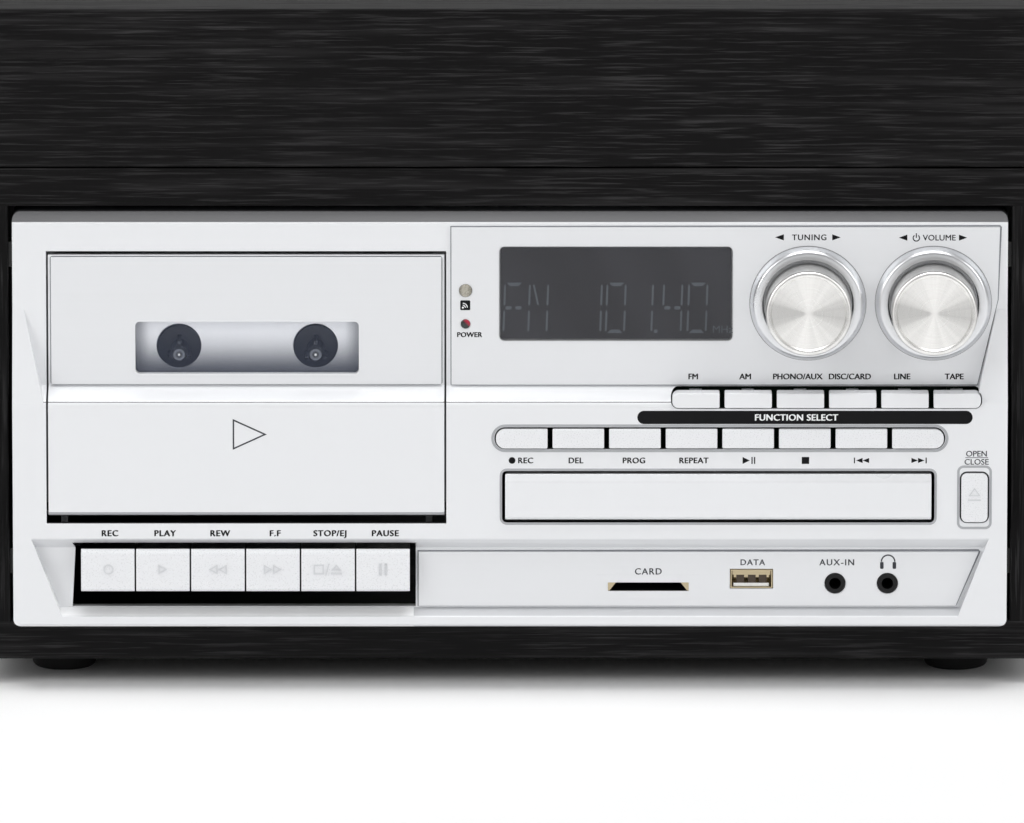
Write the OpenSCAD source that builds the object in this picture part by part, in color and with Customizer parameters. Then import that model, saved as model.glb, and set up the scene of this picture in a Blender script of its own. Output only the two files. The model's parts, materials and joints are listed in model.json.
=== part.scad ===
// Stereo music centre: a wooden cabinet with a turntable under its lid and a silver
// front panel that holds a cassette deck, a tuner, a disc tray and the input sockets.
// Millimetres. +Z is up, the front faces -Y, and the origin is below the middle, on the floor.

/* [Cabinet] */
// Width over the side boards
cabinet_w = 336; // [334:1:380]
// Depth of the boards, front to back
cabinet_d = 340; // [336:1:380]
// Thickness of the cabinet boards
board_t = 12; // [10:0.5:14]
// Height of the lid
lid_h = 50; // [48:1:60]
// Thickness of the lid's top board
lid_top_t = 6; // [4:0.5:9]
// Gap between the lid and the cabinet
lid_seam = 0.4; // [0.3:0.1:0.8]
// Thickness of the rear board
rear_board_t = 3; // [2.5:0.5:5]
// Height of a foot
foot_h = 8; // [6:0.5:12]
// Radius of a foot
foot_r = 11; // [9:0.5:13]

/* [Front panel] */
// Height of the panel
panel_h = 129.7; // [129.7:0.1:136]
// Gap at each side of the panel
panel_side_gap = 1.3; // [0.8:0.1:1.5]
// Gap under the panel
panel_foot_gap = 1; // [0.6:0.1:1.5]
// Gap over the panel
panel_head_gap = 1.6; // [0.8:0.1:2]
// Wall of the moulding
panel_t = 2.5; // [2:0.1:2.6]
// How far the lower face stands before the wood
bulge_out = 12; // [11.5:0.1:12.5]
// How far the upper face stands before the wood
upper_out = 3.5; // [3.2:0.1:3.8]
// Height of the crease between the two faces
crease_z = 75.2; // [75:0.1:75.6]
// Fall of the shoulder from the crease to the lower face
shoulder_drop = 3.15; // [2.8:0.05:3.4]
// Radius of the shoulder
shoulder_r = 2.6; // [2:0.1:2.9]
// Depth of the sunk key and socket recess
recess_depth = 4; // [3.5:0.1:4.3]
// Thickness of the brushed plates
plate_t = 1; // [0.8:0.1:1.2]

/* [Cassette deck] */
// Width of the door opening
door_hole_w = 124.4; // [124.2:0.1:125]
// Gap round the door
door_gap = 0.6; // [0.5:0.1:0.8]
// Wall of the door
door_t = 2.2; // [2:0.1:2.4]
// Width of a cassette
cassette_w = 100.4; // [100:0.1:101]
// Thickness of a cassette
cassette_t = 12; // [11.6:0.1:12.2]
// Distance between the reel spindles
hub_pitch = 42.5; // [42:0.1:43]
// Width of a tape key
key_w = 16.6; // [16:0.1:16.8]
// Distance from key to key
key_pitch = 17.14; // [17.1:0.01:17.25]
// Angle that a tape key is pressed through
key_press = 6; // [4:0.5:6]

/* [Tuner and controls] */
// Radius of a knob
knob_r = 13.4; // [12.5:0.1:13.8]
// Outer radius of a knob ring
ring_r = 18; // [17:0.1:18.5]
// Radius of a control shaft
shaft_r = 3; // [2.5:0.1:3.5]
// Distance from function button to function button
function_pitch = 16.24; // [16:0.02:16.4]
// Distance from transport button to transport button
transport_pitch = 17.6; // [17.4:0.05:17.8]
// Gap between two buttons
button_gap = 1.55; // [1.2:0.05:2]
// Travel of a push button
button_travel = 0.8; // [0.5:0.1:1]

/* [Disc drive] */
// Width of the tray front
tray_front_w = 132.6; // [131:0.1:133]
// Length of the tray
tray_l = 142; // [138:1:150]
// Diameter of a disc
disc_d = 120; // [118:1:121]

/* [Turntable] */
// Radius of the platter
platter_r = 98; // [90:1:102]
// Radius of the record spindle
spindle_r = 3.55; // [3.5:0.01:3.6]
// Distance from the arm's pivot to the record spindle, across
arm_dx = 156; // [152:1:158]
// Distance from the arm's pivot to the record spindle, front to back
arm_dy = 124; // [118:1:128]
// Distance from the arm's pivot to the stylus
arm_l = 214; // [208:1:220]

/* [Clearances] */
// Clearance between moving pieces
clear = 0.4; // [0.3:0.05:0.5]
// Radial clearance of a shaft in its bearing
run_clear = 0.05; // [0.03:0.01:0.08]

/* [Hidden] */
$fn = 64;

// Cabinet
opening_w = cabinet_w - 2 * board_t;
panel_w = opening_w - 2 * panel_side_gap;
floor_z = foot_h + board_t;
panel_z = floor_z + panel_foot_gap;
opening_top = panel_z + panel_h + panel_head_gap;
body_top = opening_top + board_t;
knob_reach = 21;
hinge_knuckle_r = 2.4;
hinge_back = hinge_knuckle_r + 0.2;
total_d = knob_reach + cabinet_d + hinge_back + hinge_knuckle_r;
front_y = knob_reach - total_d / 2;
edge = 0.01;

// Front panel faces, as heights over the panel's lower edge and depths from the wood
upper_y = -upper_out;
lower_y = -bulge_out;
bevel_drop = 3;
bevel_back = 0;
panel_back = 10;
recess_y = lower_y + recess_depth;
recess_low = 5.5;
recess_top = 24.5;
recess_low_lip = 3.2;
recess_top_lip = 28.2;
recess_half_top = panel_w / 2 - 7;
recess_half_low = panel_w / 2 - 14.3;
block_top = 31;
panel_corner_r = 2.4;
wing_top = panel_h - 30.2;
wing_top_x = panel_w / 2 - 3.4;
wing_low_x = panel_w / 2 - 10.2;
lug_h = 8;
shoulder_z = crease_z - shoulder_drop;

// Cassette deck
door_margin = 10.5;
door_hole_x = door_hole_w / 2 + door_margin - panel_w / 2;
deck_x = door_hole_x + 0.25;
door_hole_low = 33;
door_hole_top = panel_h - 11.9;
door_hole_r = door_hole_x + door_hole_w / 2;
door_w = door_hole_w - 2 * door_gap;
door_low = door_hole_low + 2.2;
door_top = door_hole_top - 1.2;
door_back = upper_y + 1.8;
door_pin_r = 1.25;
door_pin_y = lower_y + 4;
door_pin_z = door_low + 2.4;
door_pin_l = 3;
door_boss = 3.2;
spindle_z = door_hole_top - 33.5;
cassette_drop = 36.5;
cassette_rise = 27.5;
window_w = 69.4;
window_h = 16.5;
window_z = spindle_z + 3.05;
window_t = 2;
window_r = 1.4;
window_fit = 0.1;
cassette_y = door_back + 0.3;
cassette_back = cassette_y + cassette_t;
reel_disc_r = 7;
reel_disc_y = cassette_back + 0.1;
reel_disc_t = 1.5;
spindle_axle_r = 1.5;
chassis_y = cassette_back + 4.4;
chassis_t = 1.5;
chassis_l = door_hole_x - door_hole_w / 2 - 7.8;
chassis_r = door_hole_r + 7.3;
chassis_low = 30;
chassis_top = door_hole_top + 0.2;
chassis_post_r = 3;
capstan_x = deck_x + 40;
capstan_z = spindle_z - 24.3;
key_n = 6;
key_shaft_r = 1.5;
key_shaft_y = chassis_y + 15;
key_shaft_z = 18;
key_hub_r = 3.4;
key_low = 11.7;
key_top = 25.5;
key_front = lower_y - 2;
key_drop = (key_shaft_y - key_front) * sin(key_press);
key_row_x = deck_x - 0.6;
key_row_w = (key_n - 1) * key_pitch + key_w;
key_side_gap = 1.85;
key_hole_low = key_low - key_drop - 0.9;
key_hole_top = key_top + 0.5;
key_hole_w = key_row_w + 2 * key_side_gap;
cheek_t = 2;
cheek_gap = 3;

// Upper fascia plate
fascia_l = door_hole_r + 1.6;
fascia_r = panel_w / 2 - 2.5;
fascia_low = crease_z + 0.4;
fascia_top = panel_h - bevel_drop - 1.2;

// Controls
board_y = 3;
switch_h = 3;
switch_y = board_y - switch_h;
stem_end = switch_y - button_travel - 0.3;
knob_z = (fascia_low + fascia_top) / 2 + 0.95;
volume_x = panel_w / 2 - 23.1;
tuning_x = volume_x - 2 * ring_r - 3;
bush_r = 4.5;
encoder_half = 6;
knob_bore = 12;
knob_gap = 2;
knob_back = -(upper_out + plate_t + button_travel + knob_gap);
ring_inner_r = knob_r + 1.3;
function_n = 6;
function_x = panel_w / 2 - 7.58 - function_n * function_pitch / 2;
function_low = crease_z - 5.3;
function_top = crease_z - 0.6;
function_r = 1.9;
transport_n = 8;
transport_x = panel_w / 2 - 19.05 - transport_n * transport_pitch / 2;
transport_low = crease_z - 18.1;
transport_top = crease_z - 12;
transport_r = 2.9;
tray_button_x = panel_w / 2 - 10.2;
tray_button_w = 8.2;
tray_button_low = 33.6;
tray_button_top = 49.1;
tray_button_r = 1.8;
button_front = lower_y - 1;
stop_inset = 2.5;
stop_gap = 0.3;
stop_t = 1;
stem_w = 4;
stem_h = 3;
switch_half = 3;
switch_tip_r = 1.6;
pcb_t = 1.6;
pcb_l = door_hole_r + 8.3;
pcb_r = panel_w / 2 - 2.7;
pcb_low = transport_low - 3.6;
pcb_top = fascia_top - 1.5;
pcb_post_z = crease_z + 6.8;
post_inset = 4;

// Display
lens_w = 72.3;
lens_h = 29.6;
lens_t = 1.4;
lens_r = 1.5;
lens_fit = 0.15;
lens_ledge = 1.5;
lens_x = fascia_l + 15 + lens_w / 2;
lens_z = knob_z + 3;
module_inset = 2;
indicator_x = fascia_l + 4.4;
ir_z = lens_z + 1;
led_z = lens_z - 9.6;
ir_r = 1.95;
led_r = 1.4;
indicator_fit = 0.1;

// Disc drive
tray_hole_gap = 1.4;
tray_hole_w = tray_front_w + 2 * tray_hole_gap;
tray_x = tray_button_x - tray_button_w / 2 - 7.9 - tray_hole_w / 2;
tray_low = 34.3;
tray_top = 48.8;
tray_hole_low = tray_low - 1.1;
tray_hole_top = tray_top + 0.9;
tray_front_y = lower_y - 1.5;
tray_front_t = 3;
tray_rim = 4;
tray_w = disc_d + 2 * tray_rim;
tray_t = 5;
tray_z = 39;
tray_wall = 2;
well_r = disc_d / 2 + 1;
well_y = tray_front_y + tray_front_t + tray_rim + well_r;
well_depth = 2.2;
pickup_r = 17;
drive_w = tray_w + 10;
drive_low = tray_z - 8;
drive_top = tray_z + tray_t + 8;
drive_wall = 1.5;
drive_front = tray_front_y + tray_front_t + 5.5;
drive_back = drive_front + tray_l + 39;
drive_runner = 3;
drive_leg_r = 4;
drive_motor_r = 12;

// Sockets
socket_plate_t = 1.2;
socket_l = key_row_x + key_hole_w / 2 + 0.85;
socket_top_r = panel_w / 2 - 8.7;
socket_low_r = panel_w / 2 - 15.8;
socket_low = 6.1;
socket_top = 23.3;
socket_face = recess_y - socket_plate_t;
floor_back = recess_y + panel_t;
jack_z = 13.3;
jack_pitch = 16.3;
jack_x = [panel_w / 2 - 37.1 - jack_pitch, panel_w / 2 - 37.1];
jack_r = 1.8;
jack_nose_r = 3.1;
jack_depth = 14;
jack_half = 5;
usb_x = jack_x[0] - 26.05;
usb_z = 14.75;
usb_w = 13.1;
usb_h = 5.9;
usb_wall = 0.4;
card_x = usb_x - 32.15;
card_z = 12.2;
card_w = 26;
card_h = 2.9;
card_wall = 0.8;
card_depth = 28;
socket_fit = 0.2;

// Turntable
deck_t = 3;
deck_top = body_top - 1;
platter_gap = 2;
platter_h = 9;
platter_bearing_r = 3;
mat_t = 2.5;
mat_hole_r = spindle_r + 1;
mat_z = deck_top + platter_gap + platter_h;
arm_tail = 34;
arm_side_gap = 42;
arm_back_gap = 12;
arm_x = opening_w / 2 - arm_side_gap;
arm_y = cabinet_d - board_t - arm_tail - arm_back_gap;
arm_z = mat_z + mat_t + 13.5;
arm_tube_r = 3.5;
arm_pin_r = 1.5;
arm_rest_y = arm_y - 72;
gimbal_pin_r = 3;
platter_x = arm_x - arm_dx;
platter_y = arm_y - arm_dy;
pillar_h = arm_z - deck_top - 12;
switch_x = opening_w / 2 - 16;
switch_low_y = arm_y - 186;
switch_travel = 12;
switch_stem = 4;
cleat = 8;

// Rear
rear_y = cabinet_d - 2;
inlet_x = 41 - opening_w / 2;
inlet_z = 48;
inlet_w = 24;
inlet_h = 16;
inlet_pin_x = 4.3;
phono_pitch = 18;
phono_x = [opening_w / 2 - 38 - phono_pitch, opening_w / 2 - 38];
phono_z = [44, 44 + phono_pitch];
phono_r = 4.2;
vent_w = 4;
vent_pitch = 9;
vent_low = 90;
vent_top = opening_top - 22.3;
hinge_x = [68 - cabinet_w / 2, cabinet_w / 2 - 68];
hinge_z = body_top + lid_seam / 2;
hinge_y = cabinet_d + hinge_back;
hinge_leaf_h = 16;
hinge_leaf_t = 1.2;
hinge_l = 40;
hinge_mid_l = 13;
hinge_pin_r = 1.3;
foot_inset = 28;

// Mains transformer
core_w = 60;
core_t = 32;
core_limb = 10;
winding_t = 52;
transformer_x = 61 - opening_w / 2;
transformer_y = cabinet_d - 78;

// Places children in the panel's frame: depth from the wood, height from the panel's edge
module at_panel() translate([0, front_y, panel_z]) children();
// Places children at the wood's front plane, with heights from the floor
module at_front() translate([0, front_y, 0]) children();
// Extrudes a depth and height outline across the width
module across(w, x = 0) translate([x, 0, 0]) rotate([90, 0, 90]) linear_extrude(w, center = true) children();
// Extrudes a width and height outline from one depth to another
module through(from, to) translate([0, to, 0]) rotate([90, 0, 0]) linear_extrude(to - from) children();
// A cylinder along the depth
module rod_y(r, from, to, x, z) translate([x, to, z]) rotate([90, 0, 0]) cylinder(r = r, h = to - from);
// A cylinder across the width
module rod_x(r, from, to, y, z) translate([from, y, z]) rotate([0, 90, 0]) cylinder(r = r, h = to - from);
// A box from one corner to the other
module span(a, b) translate(a) cube(b - a);
// A rectangle with round corners about its centre
module round_rect(w, h, r) {
    square([w - 2 * r, h], center = true);
    square([w, h - 2 * r], center = true);
    for (x = [-1, 1], z = [-1, 1]) translate([x * (w / 2 - r), z * (h / 2 - r)]) circle(r);
}

// ---- Cabinet ----

module cabinet_carcass() color([0.06, 0.06, 0.065]) at_front() {
    half = cabinet_w / 2;
    // floor and side boards
    span([-half, 0, foot_h], [half, cabinet_d, floor_z]);
    for (s = [-1, 1]) span([s * (half - board_t / 2) - board_t / 2, 0, floor_z],
        [s * (half - board_t / 2) + board_t / 2, cabinet_d, body_top]);
    // top rails, front and rear
    for (y = [0, cabinet_d - board_t]) span([-half, y, opening_top], [half, y + board_t, body_top]);
    // cleats under the turntable deck
    for (s = [-1, 1]) span([s * (opening_w - cleat) / 2 - cleat / 2, board_t, deck_top - deck_t - cleat],
        [s * (opening_w - cleat) / 2 + cleat / 2, cabinet_d - board_t, deck_top - deck_t]);
}

module rear_panel() color([0.1, 0.09, 0.08]) at_front() {
    y = rear_y - rear_board_t;
    difference() {
        span([-opening_w / 2, y, floor_z], [opening_w / 2, rear_y, opening_top]);
        for (i = [-5:5]) span([i * vent_pitch - vent_w / 2, y - 1, vent_low],
            [i * vent_pitch + vent_w / 2, rear_y + 1, vent_top]);
        span([inlet_x - inlet_w / 2, y - 1, inlet_z - inlet_h / 2],
            [inlet_x + inlet_w / 2, rear_y + 1, inlet_z + inlet_h / 2]);
        for (x = phono_x, z = phono_z) rod_y(phono_r + socket_fit, y - 1, rear_y + 1, x, z);
    }
}

module rear_sockets() color([0.05, 0.05, 0.05]) at_front() {
    y = rear_y;
    bowl_r = 4.4;
    bowl_depth = 12;
    // two-pole mains inlet with its flange
    difference() {
        union() {
            span([inlet_x - inlet_w / 2 + socket_fit, y - 16, inlet_z - inlet_h / 2 + socket_fit],
                [inlet_x + inlet_w / 2 - socket_fit, y, inlet_z + inlet_h / 2 - socket_fit]);
            span([inlet_x - inlet_w / 2 - 5, y, inlet_z - inlet_h / 2 - 2],
                [inlet_x + inlet_w / 2 + 5, y + 2, inlet_z + inlet_h / 2 + 2]);
        }
        for (s = [-1, 1]) rod_y(bowl_r, y - bowl_depth, y + 3, inlet_x + s * inlet_pin_x, inlet_z);
        span([inlet_x - inlet_pin_x, y - bowl_depth, inlet_z - bowl_r],
            [inlet_x + inlet_pin_x, y + 3, inlet_z + bowl_r]);
    }
    for (s = [-1, 1]) rod_y(1.2, y - bowl_depth - 1, y - 2, inlet_x + s * inlet_pin_x, inlet_z);
    // line output sockets
    for (x = phono_x, z = phono_z) difference() {
        union() {
            rod_y(phono_r, y - rear_board_t - 4, y + 6.5, x, z);
            rod_y(phono_r + 1.8, y, y + 1.5, x, z);
        }
        rod_y(1.6, y - 2, y + 8, x, z);
    }
}

module feet() color([0.03, 0.03, 0.03]) at_front() {
    screw_hole_r = 4;
    for (s = [-1, 1], y = [foot_inset, cabinet_d - foot_inset])
        translate([s * (cabinet_w / 2 - foot_inset), y, 0]) rotate_extrude() polygon([
            [screw_hole_r, 0], [foot_r - 2, 0], [foot_r - 1.2, 0.8], [foot_r, foot_h], [0, foot_h],
            [0, foot_h - 3], [screw_hole_r, foot_h - 3]]);
}

module lid() color([0.06, 0.06, 0.065]) at_front() difference() {
    z = body_top + lid_seam;
    span([-cabinet_w / 2, 0, z], [cabinet_w / 2, cabinet_d, z + lid_h]);
    span([-opening_w / 2, board_t, z - 1], [opening_w / 2, cabinet_d - board_t, z + lid_h - lid_top_t]);
}

// One hinge leaf: its plate on the wood above the pin and a web to each of its knuckles
module hinge_leaf(knuckles) {
    low = hinge_knuckle_r + 0.6;
    span([-hinge_l / 2, cabinet_d, low], [hinge_l / 2, cabinet_d + hinge_leaf_t, hinge_leaf_h]);
    for (k = knuckles) {
        span([k[0], cabinet_d, 0], [k[1], cabinet_d + hinge_leaf_t, low + 1]);
        rod_x(hinge_knuckle_r, k[0], k[1], hinge_y, 0);
    }
}

module hinge_fixed_leaves() color([0.62, 0.55, 0.35]) at_front()
    for (x = hinge_x) translate([x, 0, hinge_z]) difference() {
        mirror([0, 0, 1])
            hinge_leaf([[-hinge_l / 2, -hinge_mid_l / 2 - 0.3], [hinge_mid_l / 2 + 0.3, hinge_l / 2]]);
        rod_x(hinge_pin_r + run_clear, -hinge_l, hinge_l, hinge_y, 0);
    }

module hinge_lid_leaves() color([0.66, 0.59, 0.38]) at_front()
    for (x = hinge_x) translate([x, 0, hinge_z]) {
        hinge_leaf([[-hinge_mid_l / 2, hinge_mid_l / 2]]);
        rod_x(hinge_pin_r, -hinge_l / 2, hinge_l / 2, hinge_y, 0);
    }

// ---- Front panel ----

// Points of the shoulder between the lower face and the crease, rounded at its front
function shoulder(low_y, up_y, low_z, up_z, r) = concat(
    [for (a = [180:-15:120]) [low_y + r + r * cos(a), low_z - r * 0.3 + r * sin(a) - r * 0.6]],
    [[up_y, up_z]]);

// Outline of the panel's outer faces, depth and height
function face_outline() = concat(
    [[panel_back, 0], [lower_y + 0.8, 0], [lower_y, 0.8]],
    shoulder(lower_y, upper_y, shoulder_z, crease_z, shoulder_r),
    [[upper_y, panel_h - bevel_drop], [bevel_back, panel_h], [panel_back, panel_h]]);

// Outline of the room behind the faces
function room_outline() = [
    [panel_back + 1, panel_t], [lower_y + panel_t, panel_t],
    [lower_y + panel_t, shoulder_z - panel_t], [upper_y + panel_t, crease_z - panel_t],
    [upper_y + panel_t, panel_h - bevel_drop - 1], [bevel_back + panel_t, panel_h - panel_t],
    [panel_back + 1, panel_h - panel_t]];

// Half width of the sunk recess at a height
function recess_half(z) = recess_half_low
    + (recess_half_top - recess_half_low) * (z - recess_low) / (recess_top - recess_low);

// Cuts the panel's outline to round corners
module round_corners() intersection() {
    translate([0, 0, panel_h / 2]) through(lower_y - 1, panel_back + 1)
        round_rect(panel_w, panel_h, panel_corner_r);
    children();
}

module recess() intersection() {
    top_slope = (recess_top_lip - recess_top) / recess_depth;
    low_slope = (recess_low - recess_low_lip) / recess_depth;
    across(panel_w) polygon([[lower_y - 1, recess_low_lip - low_slope], [recess_y, recess_low],
        [recess_y, recess_top], [lower_y - 1, recess_top_lip + top_slope]]);
    through(lower_y - 2, recess_y + 1) polygon([
        [-recess_half(0), 0], [recess_half(0), 0],
        [recess_half(block_top), block_top], [-recess_half(block_top), block_top]]);
}

// The ramp at each end that carries the lower face up beside the upper one
module wing() intersection() {
    through(lower_y - 1, upper_y + 2) polygon([[wing_low_x, shoulder_z - 3], [panel_w / 2, shoulder_z - 3],
        [panel_w / 2, wing_top], [wing_top_x, wing_top]]);
    across(panel_w + 2) polygon([[lower_y, shoulder_z - 4], [lower_y, shoulder_z - 1],
        [lower_y + 0.5, shoulder_z + 0.3], [upper_y, wing_top], [upper_y + 1, wing_top],
        [upper_y + 1, shoulder_z - 4]]);
}

// The slot that a row of buttons or one button works in
module button_slot(x, w, low, top, r) translate([x, 0, (low + top) / 2])
    through(lower_y - 2, upper_y + panel_t) round_rect(w + 2 * clear, top - low + 2 * clear, r + clear);

// The moulding before its openings are cut
module panel_stock() {
    round_corners() {
        difference() {
            across(panel_w) polygon(face_outline());
            across(panel_w - 2 * panel_t) polygon(room_outline());
        }
        // solid stock behind the sunk recess
        span([-panel_w / 2 + 1, lower_y + 1, 1], [panel_w / 2 - 1, floor_back, block_top]);
        wing();
        mirror([1, 0, 0]) wing();
    }
    // lugs that centre the panel between the side boards
    for (s = [0, 1], z = [14, panel_h - 18]) mirror([s, 0, 0])
        span([panel_w / 2 - 1, 2, z], [opening_w / 2, panel_back - 1, z + lug_h]);
    // bearings of the cassette door
    for (x = [door_hole_r - door_hole_w - door_pin_l, door_hole_r])
        span([x, lower_y + panel_t - edge, door_pin_z - door_boss],
            [x + door_pin_l, door_pin_y + 3, door_pin_z + door_boss]);
    // posts of the control board
    for (x = [pcb_l + post_inset, pcb_r - post_inset], z = [pcb_post_z, pcb_top - post_inset])
        rod_y(2.5, upper_y + panel_t - edge, board_y, x, z);
}

module front_panel() color([0.86, 0.87, 0.89]) at_panel() difference() {
    panel_stock();
    recess();
    // cassette door
    span([door_hole_r - door_hole_w, lower_y - 1, door_hole_low],
        [door_hole_r, upper_y + panel_t + 1, door_hole_top]);
    rod_x(door_pin_r + run_clear, door_hole_x - door_hole_w, door_hole_x + door_hole_w, door_pin_y, door_pin_z);
    // tape keys
    span([key_row_x - key_hole_w / 2, lower_y - 1, key_hole_low],
        [key_row_x + key_hole_w / 2, floor_back + 1, key_hole_top]);
    // button rows, tray button and disc tray
    button_slot(function_x, function_n * function_pitch - button_gap,
        function_low, function_top, function_r);
    button_slot(transport_x, transport_n * transport_pitch - button_gap,
        transport_low, transport_top, transport_r);
    button_slot(tray_button_x, tray_button_w, tray_button_low, tray_button_top, tray_button_r);
    translate([tray_x, 0, (tray_hole_low + tray_hole_top) / 2]) through(lower_y - 2, lower_y + panel_t + 1)
        round_rect(tray_hole_w, tray_hole_top - tray_hole_low, 1.5);
    // display window
    translate([lens_x, 0, lens_z]) through(upper_y - 1, upper_y + panel_t + 1)
        round_rect(lens_w - 2 * lens_ledge, lens_h - 2 * lens_ledge, 1);
    control_holes(upper_y - 1, upper_y + panel_t + 1);
    socket_holes(recess_y - 1, floor_back + 1);
}

// Holes for the control shafts and the lamps
module control_holes(from, to) {
    for (x = [tuning_x, volume_x]) rod_y(bush_r + 0.2, from, to, x, knob_z);
    rod_y(ir_r + indicator_fit, from, to, indicator_x, ir_z);
    rod_y(led_r + indicator_fit, from, to, indicator_x, led_z);
}

// Holes for the noses of the sockets
module socket_holes(from, to) {
    card_half_w = card_w / 2 + card_wall + socket_fit;
    card_half_h = card_h / 2 + card_wall + socket_fit;
    usb_half_w = usb_w / 2 + socket_fit;
    usb_half_h = usb_h / 2 + socket_fit;
    span([card_x - card_half_w, from, card_z - card_half_h], [card_x + card_half_w, to, card_z + card_half_h]);
    span([usb_x - usb_half_w, from, usb_z - usb_half_h], [usb_x + usb_half_w, to, usb_z + usb_half_h]);
    for (x = jack_x) rod_y(jack_nose_r + socket_fit, from, to, x, jack_z);
}

module upper_fascia_plate() color([0.8, 0.81, 0.83]) at_panel() difference() {
    slant = (wing_top_x - wing_low_x) / (wing_top - shoulder_z + 2);
    low_r = wing_low_x + slant * (fascia_low - shoulder_z + 2) - clear;
    through(upper_y - plate_t, upper_y) polygon([[fascia_l, fascia_low], [low_r, fascia_low],
        [wing_top_x - clear, wing_top], [fascia_r - 0.6, wing_top + 3],
        [fascia_r, fascia_top], [fascia_l, fascia_top]]);
    translate([lens_x, 0, lens_z]) through(upper_y - 2, upper_y + 1)
        round_rect(lens_w + 2 * lens_fit, lens_h + 2 * lens_fit, lens_r + lens_fit);
    control_holes(upper_y - 2, upper_y + 1);
}

module socket_plate() color([0.83, 0.84, 0.86]) at_panel() difference() {
    through(socket_face, recess_y) polygon([[socket_l, socket_low], [socket_low_r, socket_low],
        [socket_top_r, socket_top], [socket_l, socket_top]]);
    socket_holes(recess_y - 3, recess_y + 1);
}

module display_lens() color([0.22, 0.23, 0.26]) at_panel() translate([lens_x, 0, lens_z])
    through(upper_y - lens_t, upper_y) round_rect(lens_w, lens_h, lens_r);

module display_module() color([0.1, 0.13, 0.12]) at_panel() difference() {
    y = upper_y + panel_t;
    outer = [lens_w / 2 + 1, 0, lens_h / 2 + 1];
    inner = [lens_w / 2 - module_inset, 0, lens_h / 2 - module_inset];
    middle = [lens_x, y, lens_z];
    span(middle - outer, middle + outer + [0, board_y - 0.2 - y, 0]);
    span(middle - inner - [0, 1, 0], middle + inner + [0, 1, 0]);
}

module indicator_lenses() color([0.25, 0.05, 0.05]) at_panel() {
    rod_y(ir_r, upper_y - plate_t - 0.5, upper_y + panel_t, indicator_x, ir_z);
    rod_y(led_r, upper_y - plate_t - 0.6, upper_y + panel_t, indicator_x, led_z);
}

// ---- Knobs and controls ----

module knob_rings() color([0.9, 0.9, 0.92]) at_panel()
    for (x = [tuning_x, volume_x]) translate([x, upper_y - plate_t, knob_z]) rotate([90, 0, 0])
        rotate_extrude() polygon([[ring_inner_r, 0], [ring_r, 0], [ring_r, 0.6], [ring_r - 0.6, 1.3],
            [ring_inner_r + 1.2, 3], [ring_inner_r + 0.4, 3], [ring_inner_r, 2.5]]);

// A turned knob with a chamfered rim, a slightly dished face and a blind bore at its back
module knob(x) {
    h = knob_reach + knob_back;
    translate([x, knob_back, knob_z]) rotate([90, 0, 0]) difference() {
        rotate_extrude() polygon([[0, 0], [knob_r - 0.5, 0], [knob_r, 0.5], [knob_r, h - 1.2],
            [knob_r - 1.2, h], [knob_r - 2.2, h - 0.2], [0, h - 0.6]]);
        translate([0, 0, -1]) cylinder(r = shaft_r + run_clear, h = knob_bore + 1);
    }
}

module tuning_knob() color([0.82, 0.81, 0.79]) at_panel() knob(tuning_x);
module volume_knob() color([0.82, 0.81, 0.79]) at_panel() knob(volume_x);

// The push shaft of the volume control turns a knob and moves inwards with it
module volume_shaft() color([0.7, 0.7, 0.72]) at_panel()
    rod_y(shaft_r, knob_back - knob_bore + 0.5, board_y - 2 - button_travel, volume_x, knob_z);

module control_board() color([0.05, 0.28, 0.14]) at_panel() {
    difference() {
        union() {
            span([pcb_l, board_y, pcb_low], [pcb_r, board_y + pcb_t, pcb_top]);
            span([tray_button_x - 2 * switch_half, board_y, tray_button_low - 2.6],
                [pcb_r, board_y + pcb_t, pcb_low + edge]);
        }
        rod_y(shaft_r + 0.5, board_y - 1, board_y + pcb_t + 1, volume_x, knob_z);
    }
    // encoders with their threaded bushes
    for (x = [tuning_x, volume_x]) difference() {
        union() {
            span([x - encoder_half, upper_y + panel_t + 0.2, knob_z - encoder_half],
                [x + encoder_half, board_y, knob_z + encoder_half]);
            rod_y(bush_r, upper_y - plate_t + 0.1, board_y, x, knob_z);
        }
        if (x == volume_x) rod_y(shaft_r + run_clear, -20, board_y + 1, x, knob_z);
    }
    rod_y(shaft_r, knob_back - knob_bore + 0.5, board_y, tuning_x, knob_z);
    // a switch behind each button
    for (i = [0:function_n - 1])
        tact_switch(button_x(function_x, function_pitch, function_n, i), function_low, function_top);
    for (i = [0:transport_n - 1])
        tact_switch(button_x(transport_x, transport_pitch, transport_n, i), transport_low, transport_top);
    tact_switch(tray_button_x, tray_button_low, tray_button_top);
}

// A switch on the board behind the middle of a button
module tact_switch(x, low, top) translate([x, board_y, (low + top) / 2]) {
    span([-switch_half, 0.8 - switch_h, -switch_half], [switch_half, edge, switch_half]);
    rod_y(switch_tip_r, -switch_h, edge, 0, 0);
}

// Place of a button in a row
function button_x(middle, pitch, n, i) = middle + (i - (n - 1) / 2) * pitch;

// A push button: its cap, a stop behind the panel wall and a stem to the switch
module push_button(x, w, low, top, r, round_l = true, round_r = true, stop_up = true)
    translate([x, 0, (low + top) / 2]) {
        h = top - low;
        back = lower_y + panel_t;
        through(button_front, back + 2) {
            round_rect(w, h, r);
            if (!round_l) translate([-w / 4, 0]) round_rect(w / 2, h, 0.4);
            if (!round_r) translate([w / 4, 0]) round_rect(w / 2, h, 0.4);
        }
        // stop that rests behind the panel
        span([-w / 2 + stop_inset, back + stop_gap, -h / 2 - 1.1],
            [w / 2 - stop_inset, back + stop_gap + stop_t, stop_up ? h / 2 + 1.1 : 0]);
        span([-stem_w / 2, back, -stem_h / 2], [stem_w / 2, stem_end, stem_h / 2]);
    }

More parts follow.
